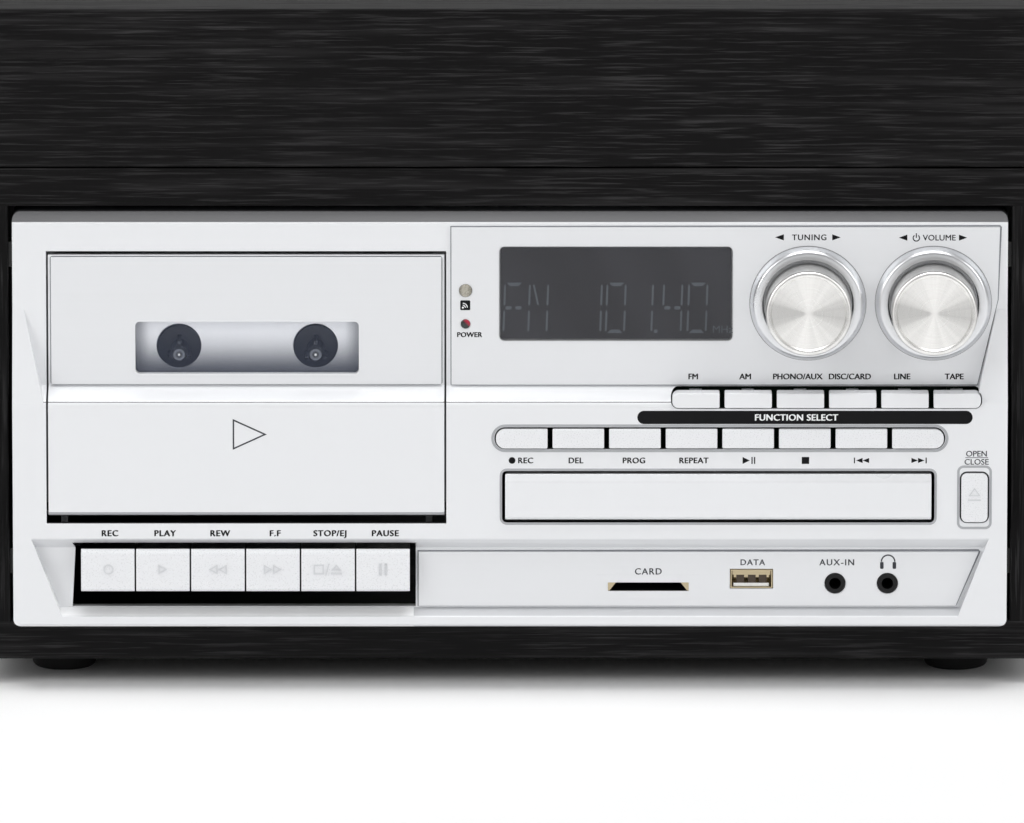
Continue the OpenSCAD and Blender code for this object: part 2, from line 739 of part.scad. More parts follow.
module function_button(i) color([0.9, 0.9, 0.92]) at_panel()
    push_button(button_x(function_x, function_pitch, function_n, i), function_pitch - button_gap,
        function_low, function_top, function_r, i == 0, i == function_n - 1, false);

module transport_button(i) color([0.9, 0.9, 0.92]) at_panel()
    push_button(button_x(transport_x, transport_pitch, transport_n, i), transport_pitch - button_gap,
        transport_low, transport_top, transport_r, i == 0, i == transport_n - 1);

module tray_button() color([0.9, 0.9, 0.92]) at_panel()
    push_button(tray_button_x, tray_button_w, tray_button_low, tray_button_top, tray_button_r);

// ---- Cassette deck ----

// A piano key: a hollow front cap, a lever and a bored hub on the key shaft
module tape_key(i) color([0.88, 0.89, 0.91]) at_panel()
    translate([button_x(key_row_x, key_pitch, key_n, i), 0, 0]) {
        cap_back = key_front + 16;
        difference() {
            across(key_w) polygon([[key_front + 0.8, key_low], [key_front, key_low + 0.8],
                [key_front, key_top - 2], [key_front + 0.6, key_top - 0.6], [key_front + 2, key_top],
                [cap_back + 6, key_top - 3], [cap_back + 6, key_top - 5], [cap_back, key_top - 4.5],
                [cap_back, key_low]]);
            across(key_w - 3) polygon([[key_front + 1.6, key_low - 1], [key_front + 1.6, key_top - 2.6],
                [cap_back - 1.5, key_top - 4.6], [cap_back - 1.5, key_low - 1]]);
        }
        difference() {
            union() {
                span([-3, cap_back - 1, key_shaft_z - 2], [3, key_shaft_y, key_shaft_z + 2]);
                rod_x(key_hub_r, -key_w / 2, key_w / 2, key_shaft_y, key_shaft_z);
            }
            rod_x(key_shaft_r + run_clear, -key_w, key_w, key_shaft_y, key_shaft_z);
        }
    }

// Outline of the door's outer faces, in line with the panel's
function door_outline() = concat(
    [[door_back, door_low], [lower_y + 1.5, door_low], [lower_y + 0.5, door_low + 0.5],
        [lower_y, door_low + 1.5]],
    shoulder(lower_y, upper_y, shoulder_z, crease_z, shoulder_r),
    [[upper_y, door_top], [door_back, door_top]]);

// The hole or the pane of the door's window
module window_shape(from, to, fit = 0) translate([deck_x, 0, window_z])
    through(from, to) round_rect(window_w + 2 * fit, window_h + 2 * fit, window_r + fit);

module cassette_door() color([0.86, 0.87, 0.89]) at_panel() {
    difference() {
        across(door_w, door_hole_x) polygon(door_outline());
        across(door_w - 2 * door_t, door_hole_x) polygon([[door_back + 1, door_low + door_t],
            [lower_y + door_t, door_low + door_t], [lower_y + door_t, shoulder_z - door_t],
            [door_back + 1, crease_z - door_t - 1]]);
        window_shape(upper_y - 1, door_back + 1, window_fit);
    }
    // hinge pins, from inside the door's sides to the ends of their bearings
    inner = door_w / 2 - 1;
    outer = door_hole_w / 2 + door_pin_l - door_gap;
    rod_x(door_pin_r, door_hole_x - outer, door_hole_x - inner, door_pin_y, door_pin_z);
    rod_x(door_pin_r, door_hole_x + inner, door_hole_x + outer, door_pin_y, door_pin_z);
}

module cassette_door_plate() color([0.8, 0.81, 0.83]) at_panel() difference() {
    w = door_w - 2 * door_gap - 0.6;
    span([door_hole_x - w / 2, upper_y - plate_t, fascia_low + 0.1],
        [door_hole_x + w / 2, upper_y, door_top - door_gap]);
    window_shape(upper_y - 2, upper_y + 1, window_fit);
}

module cassette_window() color([0.6, 0.62, 0.65, 0.4]) at_panel() window_shape(door_back - window_t, door_back);

// Two pockets behind the door that carry a cassette by its sides
module cassette_holder() color([0.12, 0.12, 0.13]) at_panel() {
    wall = 1.4;
    low = spindle_z - cassette_drop;
    high = spindle_z + cassette_rise;
    half = cassette_w / 2 + clear;
    for (side = [0, 1]) translate([deck_x, 0, 0]) mirror([side, 0, 0]) {
        span([half, door_back, low], [half + wall, cassette_back + wall, high]);
        span([half - 5, cassette_back + 0.2, low], [half + wall, cassette_back + wall, high]);
        span([half - 17, door_back, low], [half + wall, cassette_back + wall, low + wall]);
    }
}

module tape_chassis() color([0.55, 0.56, 0.58]) at_panel() difference() {
    cheek_l = key_row_x - key_hole_w / 2 - cheek_gap - cheek_t;
    cheek_r = key_row_x + key_hole_w / 2 + cheek_gap;
    cheek_half = 6;
    union() {
        span([chassis_l, chassis_y, chassis_low], [chassis_r, chassis_y + chassis_t, chassis_top]);
        for (s = [-1, 1]) rod_y(4, chassis_y - 0.6, chassis_y + 4, deck_x + s * hub_pitch / 2, spindle_z);
        // cheeks that carry the key shaft
        for (x = [cheek_l, cheek_r]) across(cheek_t, x + cheek_t / 2) polygon([
            [chassis_y, chassis_low + cheek_half], [chassis_y, key_shaft_z + 2],
            [key_shaft_y - 5, key_shaft_z - cheek_half], [key_shaft_y + 5, key_shaft_z - cheek_half],
            [key_shaft_y + 5, key_shaft_z + cheek_half], [chassis_y + 6, chassis_low + cheek_half]]);
        rod_x(key_shaft_r, cheek_l, cheek_r + cheek_t, key_shaft_y, key_shaft_z);
        // posts to the back of the front panel
        for (x = [chassis_l + chassis_post_r - 0.2, chassis_r - chassis_post_r + 0.1]) {
            rod_y(chassis_post_r, upper_y + panel_t, chassis_y + edge, x, door_hole_top - 4.8);
            rod_y(chassis_post_r, lower_y + panel_t, chassis_y + edge, x, 50);
        }
    }
    for (s = [-1, 1])
        rod_y(spindle_axle_r + run_clear, chassis_y - 2, chassis_y + 5, deck_x + s * hub_pitch / 2, spindle_z);
    rod_y(5, chassis_y - 1, chassis_y + 3, capstan_x, capstan_z);
}

// A reel spindle: flange, splined hub with a round tip, axle and drive wheel
module reel_spindle(s) color([0.1, 0.1, 0.1]) at_panel() {
    x = deck_x + s * hub_pitch / 2;
    tip = cassette_y + 0.8;
    rod_y(reel_disc_r, reel_disc_y, reel_disc_y + reel_disc_t, x, spindle_z);
    rod_y(2.6, tip + 2, reel_disc_y + edge, x, spindle_z);
    translate([x, tip + 2, spindle_z]) rotate([90, 0, 0]) cylinder(r1 = 2.6, r2 = 1.3, h = 2);
    for (a = [0:120:359]) translate([x, 0, spindle_z]) rotate([0, a, 0])
        span([-0.6, tip + 3, 0], [0.6, reel_disc_y + edge, 3.9]);
    rod_y(spindle_axle_r, reel_disc_y, chassis_y + 5, x, spindle_z);
    rod_y(12, chassis_y + 4.5, chassis_y + 7.5, x, spindle_z);
}

module reel_spindle_left() reel_spindle(-1);
module reel_spindle_right() reel_spindle(1);

module tape_head_block() color([0.5, 0.5, 0.52]) at_panel() {
    low = spindle_z - 50;
    half = 19;
    span([deck_x - half, chassis_y - 2, low], [deck_x + half, chassis_y, low + 12]);
    span([deck_x - half, 2, low], [deck_x + half, chassis_y - 2 + edge, low + 1.6]);
    // playback head, guide and pinch roller
    span([deck_x - 6, 3, low + 1.6], [deck_x + 6, 11, low + 9]);
    translate([deck_x, 3, low + 9]) rotate([-90, 0, 0]) intersection() {
        cylinder(r = 6, h = 8);
        span([-6, -3, 0], [6, 0.1, 8]);
    }
    rod_y(5.2, 3, 10, deck_x + 13, low + 7);
    rod_y(1.2, 2.4, chassis_y - 2, deck_x + 13, low + 7);
}

// ---- Disc drive ----

module disc_tray() color([0.12, 0.12, 0.13]) at_panel() difference() {
    front = tray_front_y + tray_front_t;
    span([tray_x - tray_w / 2, front, tray_z], [tray_x + tray_w / 2, front + tray_l, tray_z + tray_t]);
    translate([tray_x, well_y, tray_z + tray_t - well_depth]) cylinder(r = well_r, h = tray_t);
    // opening for the clamp and the pickup
    translate([tray_x, well_y, tray_z - 1]) cylinder(r = pickup_r, h = tray_t + 2);
    span([tray_x - pickup_r + 3, well_y, tray_z - 1],
        [tray_x + pickup_r - 3, front + tray_l + 1, tray_z + tray_t + 1]);
}

module disc_tray_front() color([0.88, 0.89, 0.91]) at_panel() difference() {
    back = tray_front_y + tray_front_t;
    translate([tray_x, 0, 0]) across(tray_front_w) polygon([[tray_front_y + 1.2, tray_low],
        [tray_front_y, tray_low + 1], [tray_front_y, tray_top - 2.2], [tray_front_y + 1.4, tray_top],
        [back + 4, tray_top], [back + 4, tray_low]]);
    // hollow back round the tray's end
    span([tray_x - tray_front_w / 2 + tray_wall, back, tray_low + tray_wall],
        [tray_x + tray_front_w / 2 - tray_wall, back + 5, tray_top - tray_wall]);
}

module disc_drive() color([0.6, 0.61, 0.63]) at_panel() {
    half = drive_w / 2;
    base = drive_low + drive_wall;
    difference() {
        span([tray_x - half, drive_front, drive_low], [tray_x + half, drive_back, drive_top]);
        span([tray_x - half + drive_wall, drive_front - 1, base],
            [tray_x + half - drive_wall, drive_back - drive_wall, drive_top - drive_wall]);
    }
    // runners under the tray's edges
    for (x = [tray_x - tray_w / 2, tray_x + tray_w / 2 - 2 * drive_runner])
        span([x, drive_front + 6, base - edge], [x + 2 * drive_runner, drive_back - drive_wall, tray_z - 0.3]);
    // spindle motor under the disc
    translate([tray_x, well_y, base - edge]) cylinder(r = drive_motor_r, h = 5);
    // legs on the cabinet's floor
    for (x = [tray_x - half + 6, tray_x + half - 6], y = [panel_back + 7, drive_back - 12])
        translate([x, y, floor_z - panel_z])
            cylinder(r = drive_leg_r, h = drive_low - floor_z + panel_z + edge);
}

// ---- Sockets ----

module card_reader() color([0.25, 0.25, 0.26]) at_panel() translate([card_x, 0, card_z]) difference() {
    half_w = card_w / 2;
    half_h = card_h / 2;
    union() {
        span([-half_w - card_wall, socket_face - 0.3, -half_h - card_wall],
            [half_w + card_wall, floor_back + edge, half_h + card_wall]);
        span([-half_w - 3, floor_back, -half_h - 2], [half_w + 3, floor_back + card_depth, half_h + 2]);
    }
    span([-half_w + 0.4, socket_face - 1, -half_h + 0.1],
        [half_w - 0.4, floor_back + card_depth - 2, half_h - 0.1]);
}

module usb_socket() color([0.75, 0.74, 0.7]) at_panel() translate([usb_x, 0, usb_z]) {
    half_w = usb_w / 2;
    half_h = usb_h / 2;
    difference() {
        union() {
            span([-half_w, socket_face, -half_h], [half_w, floor_back + 8, half_h]);
            span([-half_w - 2, floor_back, -half_h - 2], [half_w + 2, floor_back + 2, half_h + 2]);
        }
        span([-half_w + usb_wall, socket_face - 1, -half_h + usb_wall],
            [half_w - usb_wall, floor_back + 7, half_h - usb_wall]);
    }
    // tongue with the contacts
    span([-half_w + 1, socket_face + 1, 0.2], [half_w - 1, floor_back + 7.5, 2]);
}

module jack_sockets() color([0.03, 0.03, 0.03]) at_panel()
    for (x = jack_x) translate([x, 0, jack_z]) difference() {
        union() {
            rod_y(jack_nose_r, socket_face - 0.4, floor_back + edge, 0, 0);
            span([-jack_half, floor_back, -jack_half], [jack_half, floor_back + 12, jack_half]);
        }
        rod_y(jack_r, socket_face - 1, socket_face - 0.4 + jack_depth, 0, 0);
    }

// ---- Turntable ----

module turntable_deck() color([0.09, 0.09, 0.095]) at_front() {
    z = deck_top - deck_t;
    slot_gap = switch_stem / 2 + clear;
    difference() {
        union() {
            span([-opening_w / 2, board_t, z], [opening_w / 2, cabinet_d - board_t, deck_top]);
            // bearing boss of the platter
            translate([platter_x, platter_y, z - 16]) cylinder(r = 9, h = 16 + deck_t);
            // pillar of the tonearm
            translate([arm_x, arm_y, deck_top - edge]) cylinder(r = 15, h = 4);
            translate([arm_x, arm_y, deck_top]) cylinder(r = 9, h = pillar_h);
            // rest post under the arm's tube
            translate([arm_x, arm_rest_y, deck_top - edge]) {
                cylinder(r = 7, h = 3);
                cylinder(r = 4, h = arm_z - arm_tube_r - clear - deck_top);
            }
        }
        translate([platter_x, platter_y, z - 14]) cylinder(r = platter_bearing_r + run_clear, h = 30);
        translate([arm_x, arm_y, z - 1]) cylinder(r = gimbal_pin_r + run_clear, h = 60);
        span([switch_x - slot_gap, switch_low_y - slot_gap, z - 1],
            [switch_x + slot_gap, switch_low_y + switch_travel + slot_gap, deck_top + 1]);
    }
}

module platter() color([0.7, 0.71, 0.72]) at_front() translate([platter_x, platter_y, deck_top]) {
    // dished pressing with a turned rim
    rotate_extrude($fn = 128) polygon([[0, platter_gap + 3], [platter_r - 5, platter_gap + 3],
        [platter_r - 4, platter_gap], [platter_r - 1, platter_gap], [platter_r, platter_gap + 1],
        [platter_r, platter_gap + platter_h - 1], [platter_r - 1, platter_gap + platter_h],
        [0, platter_gap + platter_h]]);
    translate([0, 0, 0.4]) cylinder(r = 12, h = platter_gap + 3);
    translate([0, 0, -deck_t - 13]) cylinder(r = platter_bearing_r, h = 20);
    // record spindle with a round tip
    translate([0, 0, platter_gap + platter_h - edge]) {
        cylinder(r = spindle_r, h = mat_t + 10);
        translate([0, 0, mat_t + 10]) cylinder(r1 = spindle_r, r2 = spindle_r - 1.6, h = 2);
    }
}

module platter_mat() color([0.04, 0.04, 0.04]) at_front()
    translate([platter_x, platter_y, mat_z]) difference() {
    rotate_extrude($fn = 128) polygon([[mat_hole_r, 0], [platter_r - 2, 0], [platter_r - 2, mat_t - 0.6],
        [platter_r - 3, mat_t], [mat_hole_r, mat_t]]);
    // ribs of the mat stand between these grooves
    for (r = [52:12:platter_r - 8]) translate([0, 0, mat_t - 0.8]) difference() {
        cylinder(r = r + 5, h = 2, $fn = 96);
        translate([0, 0, -1]) cylinder(r = r, h = 4, $fn = 96);
    }
}

module tonearm_gimbal() color([0.12, 0.12, 0.13]) at_front() translate([arm_x, arm_y, arm_z]) difference() {
    union() {
        translate([0, 0, -arm_z + deck_top + 1]) cylinder(r = gimbal_pin_r, h = pillar_h);
        translate([0, 0, -11.6]) cylinder(r = 11, h = 2.6);
        // yoke ears on either side of the arm
        for (s = [-1, 1]) span([s * 9.5 - 1.5, -5, -10], [s * 9.5 + 1.5, 5, 5]);
    }
    rod_x(arm_pin_r + run_clear, -20, 20, 0, 0);
}

module tonearm() color([0.75, 0.76, 0.78]) at_front() translate([arm_x, arm_y, arm_z]) {
    head_l = 26;
    // tube, counterweight and its stub
    rod_y(arm_tube_r, -arm_l + head_l - 14, 24, 0, 0);
    rod_y(11, arm_tail - 18, arm_tail, 0, 0);
    // bearing block between the yoke's ears
    span([-6.5, -7, -5], [6.5, 7, 5]);
    rod_x(arm_pin_r, -11, 11, 0, 0);
    // head shell with its cartridge, stylus and finger lift
    through(-arm_l - 6, -arm_l + head_l - 8) polygon([[-8, -5], [8, -5], [8, 1], [5, 3], [-5, 3], [-8, 1]]);
    span([-6, -arm_l - 4, -9], [6, -arm_l + 12, -4.9]);
    translate([0, -arm_l, -9]) rotate([180, 0, 0]) cylinder(r1 = 1.2, r2 = 0.4, h = 1.6);
    span([7, -arm_l - 2, -1], [13, -arm_l + 2, 0.4]);
}

module speed_switch() color([0.15, 0.15, 0.16]) at_front() translate([switch_x, switch_low_y, deck_top]) {
    span([-switch_stem / 2, -switch_stem / 2, -deck_t - 1.6], [switch_stem / 2, switch_stem / 2, 2]);
    across(9) polygon([[-4, 0.3], [4, 0.3], [4, 2], [2, 4.5], [-2, 4.5], [-4, 2]]);
    span([-4, -4, -deck_t - 1.8], [4, 4, -deck_t - 0.3]);
}

// ---- Mains ----

module power_transformer() color([0.35, 0.33, 0.3]) at_front()
    translate([transformer_x, transformer_y, floor_z]) {
    half_w = core_w / 2;
    half_t = core_t / 2;
    core_h = core_w - core_limb;
    window_half = (half_w - 2 * core_limb) / 2;
    window_mid = half_w - core_limb - window_half;
    // laminated core with its two windows
    difference() {
        span([-half_w, -half_t, 0], [half_w, half_t, core_h]);
        for (s = [-1, 1]) span([s * window_mid - window_half, -half_t - 1, core_limb],
            [s * window_mid + window_half, half_t + 1, core_h - core_limb]);
    }
    // winding round the middle limb
    winding = [window_mid + window_half - 0.2, winding_t / 2, core_h / 2 - core_limb - 0.2];
    span([0, 0, core_h / 2] - winding, [0, 0, core_h / 2] + winding);
    // mounting feet
    for (s = [-1, 1]) difference() {
        span([s * (half_w + 5) - 5.5, -10, 0], [s * (half_w + 5) + 5.5, 10, 2]);
        translate([s * (half_w + 5), 0, -1]) cylinder(r = 2.2, h = 4);
    }
}

cabinet_carcass();
rear_panel();
feet();
lid();
hinge_fixed_leaves();
hinge_lid_leaves();
front_panel();
upper_fascia_plate();
socket_plate();
display_lens();
display_module();
indicator_lenses();
knob_rings();
tuning_knob();
volume_knob();
volume_shaft();
control_board();
for (i = [0:function_n - 1])
    function_button(i);
for (i = [0:transport_n - 1])
    transport_button(i);
tray_button();
for (i = [0:key_n - 1])
    tape_key(i);
cassette_door();
cassette_door_plate();
cassette_window();
cassette_holder();
tape_chassis();
reel_spindle_left();
reel_spindle_right();
tape_head_block();
disc_tray();
disc_tray_front();
disc_drive();
usb_socket();
card_reader();
jack_sockets();
turntable_deck();
platter();
platter_mat();
tonearm_gimbal();
tonearm();
speed_switch();
rear_sockets();
power_transformer();
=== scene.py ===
"""Looks of a stereo music centre, built round its packed construction model.

The front panel is a silver moulding with brushed plates, two spun knobs, rows of buttons,
piano keys and a cassette door, set in a black wood-grain cabinet with a lidded turntable.
All sizes are metres. +Z is up and the front faces -Y.
"""

from __future__ import annotations

import json
import logging
import math
from dataclasses import dataclass
from enum import Enum
from functools import lru_cache
from typing import Any, Iterable, Sequence

import bmesh
import bpy
from mathutils import Matrix, Vector, geometry


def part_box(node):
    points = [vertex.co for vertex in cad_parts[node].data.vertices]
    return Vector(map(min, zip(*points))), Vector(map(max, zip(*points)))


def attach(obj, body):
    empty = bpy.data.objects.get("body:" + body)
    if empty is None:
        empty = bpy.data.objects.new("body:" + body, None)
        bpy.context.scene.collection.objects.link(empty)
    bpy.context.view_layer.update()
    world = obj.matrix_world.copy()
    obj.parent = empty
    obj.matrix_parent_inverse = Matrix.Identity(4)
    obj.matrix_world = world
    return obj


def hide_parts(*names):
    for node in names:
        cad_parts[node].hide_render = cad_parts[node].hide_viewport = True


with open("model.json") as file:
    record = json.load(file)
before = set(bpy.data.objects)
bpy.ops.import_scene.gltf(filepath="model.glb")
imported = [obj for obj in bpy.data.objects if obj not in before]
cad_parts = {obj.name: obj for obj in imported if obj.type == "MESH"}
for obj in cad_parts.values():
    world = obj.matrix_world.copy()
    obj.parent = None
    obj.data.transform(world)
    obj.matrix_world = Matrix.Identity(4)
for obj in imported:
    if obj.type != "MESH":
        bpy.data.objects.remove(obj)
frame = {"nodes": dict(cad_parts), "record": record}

LOG = logging.getLogger("music_centre")
MM = 0.001
CAP_SHARE = 0.682  # height of a capital over the font's size
SKIN_PITCH = 2600.0  # grains of a moulded skin in a metre
DRIFT_PITCH = 22.0  # slow drifts of its colour in a metre
WELD = 2e-6  # metres within which a construction mesh's points are one
TOUCH = 1e-7  # metres within which a form's own points are one
COPLANAR = math.radians(0.6)
HARD_EDGE = math.radians(30.0)
QUARTER = [math.pi / 2 * i / 6 for i in range(7)]
FORWARD = Matrix.Rotation(math.pi / 2, 4, "X")  # turns local Z to face the front
BACKWARD = Matrix.Rotation(-math.pi / 2, 4, "X")  # turns local Z to face the rear
Colour = tuple[float, float, float]
Point = tuple[float, float]


def shaded(colour: Colour, share: float) -> Colour:
    """A colour made darker or lighter by a share, with no channel over 1."""
    return tuple(min(1.0, c * share) for c in colour)


@lru_cache(maxsize=None)
def box_of(node: str) -> tuple[Vector, Vector]:
    """Lowest and highest corner of a construction node, in row-frame metres."""
    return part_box(node)


# ---- Shader expressions ----


class Signal:
    """A shader output that takes part in Python expressions.

    Args:
        shader: The material under construction.
        socket: The output socket that carries the value or vector.
    """

    def __init__(self, shader: "Shader", socket: bpy.types.NodeSocket) -> None:
        self.shader = shader
        self.socket = socket

    def _math(self, operation: str, *others: "Signal | float") -> "Signal":
        """Adds a Math node on this value and the others, and returns its output."""
        inputs = dict(enumerate((self, *others)))
        return self.shader.node("ShaderNodeMath", {"operation": operation}, inputs)

    def __add__(self, other: "Signal | float") -> "Signal":
        """Sum."""
        return self._math("ADD", other)

    __radd__ = __add__

    def __sub__(self, other: "Signal | float") -> "Signal":
        """Difference."""
        return self._math("SUBTRACT", other)

    def __rsub__(self, other: float) -> "Signal":
        """Difference from a number."""
        return self.shader.node("ShaderNodeMath", {"operation": "SUBTRACT"}, {0: other, 1: self})

    def __mul__(self, other: "Signal | float") -> "Signal":
        """Product."""
        return self._math("MULTIPLY", other)

    __rmul__ = __mul__

    def __truediv__(self, other: "Signal | float") -> "Signal":
        """Quotient."""
        return self._math("DIVIDE", other)

    def __gt__(self, other: "Signal | float") -> "Signal":
        """1 where this is greater."""
        return self._math("GREATER_THAN", other)

    def __lt__(self, other: "Signal | float") -> "Signal":
        """1 where this is less."""
        return self._math("LESS_THAN", other)

    def __abs__(self) -> "Signal":
        """Size without its sign."""
        return self._math("ABSOLUTE")

    def root(self) -> "Signal":
        """Square root."""
        return self._math("SQRT")

    def remap(self, low: float, high: float, to_low: float = 0.0, to_high: float = 1.0) -> "Signal":
        """Maps low..high smoothly onto to_low..to_high, held at both ends.

        Args:
            low: Value that becomes to_low.
            high: Value that becomes to_high.
            to_low: Result at low.
            to_high: Result at high.

        Returns:
            The mapped value.
        """
        settings = {"interpolation_type": "SMOOTHSTEP"}
        return self.shader.node(
            "ShaderNodeMapRange", settings, {0: self, 1: low, 2: high, 3: to_low, 4: to_high}
        )


class Shader:
    """A material whose nodes are added by expressions.

    Args:
        name: Name of the material.
    """

    def __init__(self, name: str) -> None:
        self.material = bpy.data.materials.new(name)
        self.material.use_nodes = True
        self.tree = self.material.node_tree
        self.surface = self.tree.nodes["Principled BSDF"]

    def node(
        self,
        kind: str,
        settings: dict[str, Any] | None = None,
        inputs: dict[int | str, Any] | None = None,
        output: int | str = 0,
    ) -> Signal:
        """Adds a node.

        Args:
            kind: Node type.
            settings: Properties, set first.
            inputs: Values or signals of its sockets, by number or name.
            output: Number or name of the output to return.

        Returns:
            The chosen output.
        """
        made = self.tree.nodes.new(kind)
        for key, value in (settings or {}).items():
            setattr(made, key, value)
        for key, value in (inputs or {}).items():
            if isinstance(value, Signal):
                self.tree.links.new(value.socket, made.inputs[key])
            else:
                made.inputs[key].default_value = value
        return Signal(self, made.outputs[output])

    def place(self) -> Signal:
        """The surface point in the object's own metres."""
        return self.node("ShaderNodeTexCoord", output="Object")

    def axis(self, vector: Signal, index: int) -> Signal:
        """One coordinate of a vector: 0 across, 1 deep, 2 up."""
        return self.node("ShaderNodeSeparateXYZ", inputs={0: vector}, output=index)

    def noise(
        self, vector: Signal, scale: Sequence[float], detail: float = 3.0, rough: float = 0.5
    ) -> Signal:
        """Fractal noise, stretched by a scale for each axis.

        Args:
            vector: Coordinates in metres.
            scale: Features per metre along each axis.
            detail: Octaves.
            rough: Weight of the finer octaves.

        Returns:
            A value about 0.5.
        """
        scaled = self.node("ShaderNodeMapping", inputs={"Vector": vector, "Scale": tuple(scale)})
        inputs = {"Vector": scaled, "Scale": 1.0, "Detail": detail, "Roughness": rough}
        return self.node("ShaderNodeTexNoise", inputs=inputs)

    def even(self, vector: Signal, pitch: float) -> Signal:
        """Noise of one pitch along every axis, in features per metre."""
        return self.noise(vector, (pitch,) * 3, 2.0)

    def mix(self, factor: Signal, low: "Colour | Signal", high: "Colour | Signal") -> Signal:
        """Blends two colours.

        Args:
            factor: 0 for low, 1 for high.
            low: Linear colour, or another blend.
            high: Linear colour, or another blend.

        Returns:
            The blended colour.
        """
        made = self.tree.nodes.new("ShaderNodeMix")
        made.data_type = "RGBA"
        sockets = {socket.identifier: socket for socket in made.inputs}
        for key, value in (("Factor_Float", factor), ("A_Color", low), ("B_Color", high)):
            if isinstance(value, Signal):
                self.tree.links.new(value.socket, sockets[key])
            else:
                sockets[key].default_value = (*value, 1.0)
        outputs = {socket.identifier: socket for socket in made.outputs}
        return Signal(self, outputs["Result_Color"])

    def shades(
        self, factor: Signal, low: Colour, high: Colour, *zones: tuple[Signal, Colour]
    ) -> Signal:
        """Blends two colours, then lays other colours over them by mask.

        Args:
            factor: 0 for low, 1 for high.
            low: Linear colour.
            high: Linear colour.
            zones: Masks and their colours, laid one over the other.

        Returns:
            The blended colour.
        """
        tone = self.mix(factor, low, high)
        for mask, colour in zones:
            tone = self.mix(mask, tone, colour)
        return tone

    def bump(self, height: Signal, depth: float) -> Signal:
        """A bumped normal.

        Args:
            height: 0 to 1.
            depth: Metres from 0 to 1.

        Returns:
            The normal.
        """
        return self.node(
            "ShaderNodeBump", inputs={"Strength": 1.0, "Distance": depth, "Height": height}
        )

    def paint(self, **sockets: Any) -> None:
        """Sets or links the surface's sockets, with names such as base_color."""
        for key, value in sockets.items():
            socket = self.surface.inputs[key.replace("_", " ").title().replace("Ior", "IOR")]
            if isinstance(value, Signal):
                self.tree.links.new(value.socket, socket)
            elif isinstance(value, tuple):
                socket.default_value = (*value, 1.0)
            else:
                socket.default_value = value


# ---- Finishes ----


class Grain(Enum):
    """Way that a brushed or veined surface runs."""

    ACROSS = (3.0, 1500.0, 1500.0)
    UP = (1500.0, 1500.0, 3.0)


@dataclass(frozen=True)
class Finish:
    """A look that makes its own material.

    Args:
        name: Name of the material.
    """

    name: str

    def build(self) -> bpy.types.Material:
        """Makes the material."""
        shader = Shader(self.name)
        self.cover(shader, shader.place())
        return shader.material

    def cover(self, shader: Shader, place: Signal) -> None:
        """Paints the surface from the object's own coordinates."""
        raise NotImplementedError


@dataclass(frozen=True)
class Paint(Finish):
    """A sprayed or moulded plastic with a fine skin.

    Args:
        colour: Linear base colour.
        rough: Roughness.
        metallic: Share of metal flake in the paint.
        texture: Depth of the skin's grain in metres.
        pitch: Grains per metre.
        coat: Weight of a clear coat.
        vary: Share by which the colour drifts over the piece.
        shine: Specular level of the skin.
    """

    colour: Colour
    rough: float = 0.4
    metallic: float = 0.0
    texture: float = 0.00002
    pitch: float = SKIN_PITCH
    coat: float = 0.0
    vary: float = 0.04
    shine: float = 0.5

    def cover(self, shader: Shader, place: Signal) -> None:
        """Paints the surface."""
        skin = shader.even(place, self.pitch)
        drift = shader.even(place, DRIFT_PITCH)
        shader.paint(
            base_color=shader.mix(
                drift * 0.7 + skin * 0.3,
                shaded(self.colour, 1.0 - self.vary),
                shaded(self.colour, 1.0 + self.vary),
            ),
            roughness=drift.remap(0.25, 0.75, self.rough * 0.88, self.rough * 1.12),
            metallic=self.metallic,
            coat_weight=self.coat,
            specular_ior_level=self.shine,
            normal=shader.bump(skin, self.texture),
        )


@dataclass(frozen=True)
class Brushed(Finish):
    """Metal with straight brush lines.

    Args:
        colour: Linear base colour.
        grain: Way the lines run.
        rough: Roughness.
        metallic: Share of bare metal.
        depth: Depth of the lines in metres.
        contrast: Share by which the lines vary the colour.
    """

    colour: Colour
    grain: Grain = Grain.ACROSS
    rough: float = 0.34
    metallic: float = 0.75
    depth: float = 0.000006
    contrast: float = 0.07

    def cover(self, shader: Shader, place: Signal) -> None:
        """Paints the surface."""
        lines = shader.noise(place, self.grain.value, 4.0, 0.65)
        broad = shader.noise(place, tuple(s * 0.12 for s in self.grain.value), 2.0)
        shader.paint(
            base_color=shader.mix(
                lines * 0.7 + broad * 0.3,
                shaded(self.colour, 1.0 - self.contrast),
                shaded(self.colour, 1.0 + self.contrast),
            ),
            roughness=broad.remap(0.3, 0.7, self.rough * 0.93, self.rough * 1.07),
            metallic=self.metallic,
            normal=shader.bump(lines, self.depth),
        )


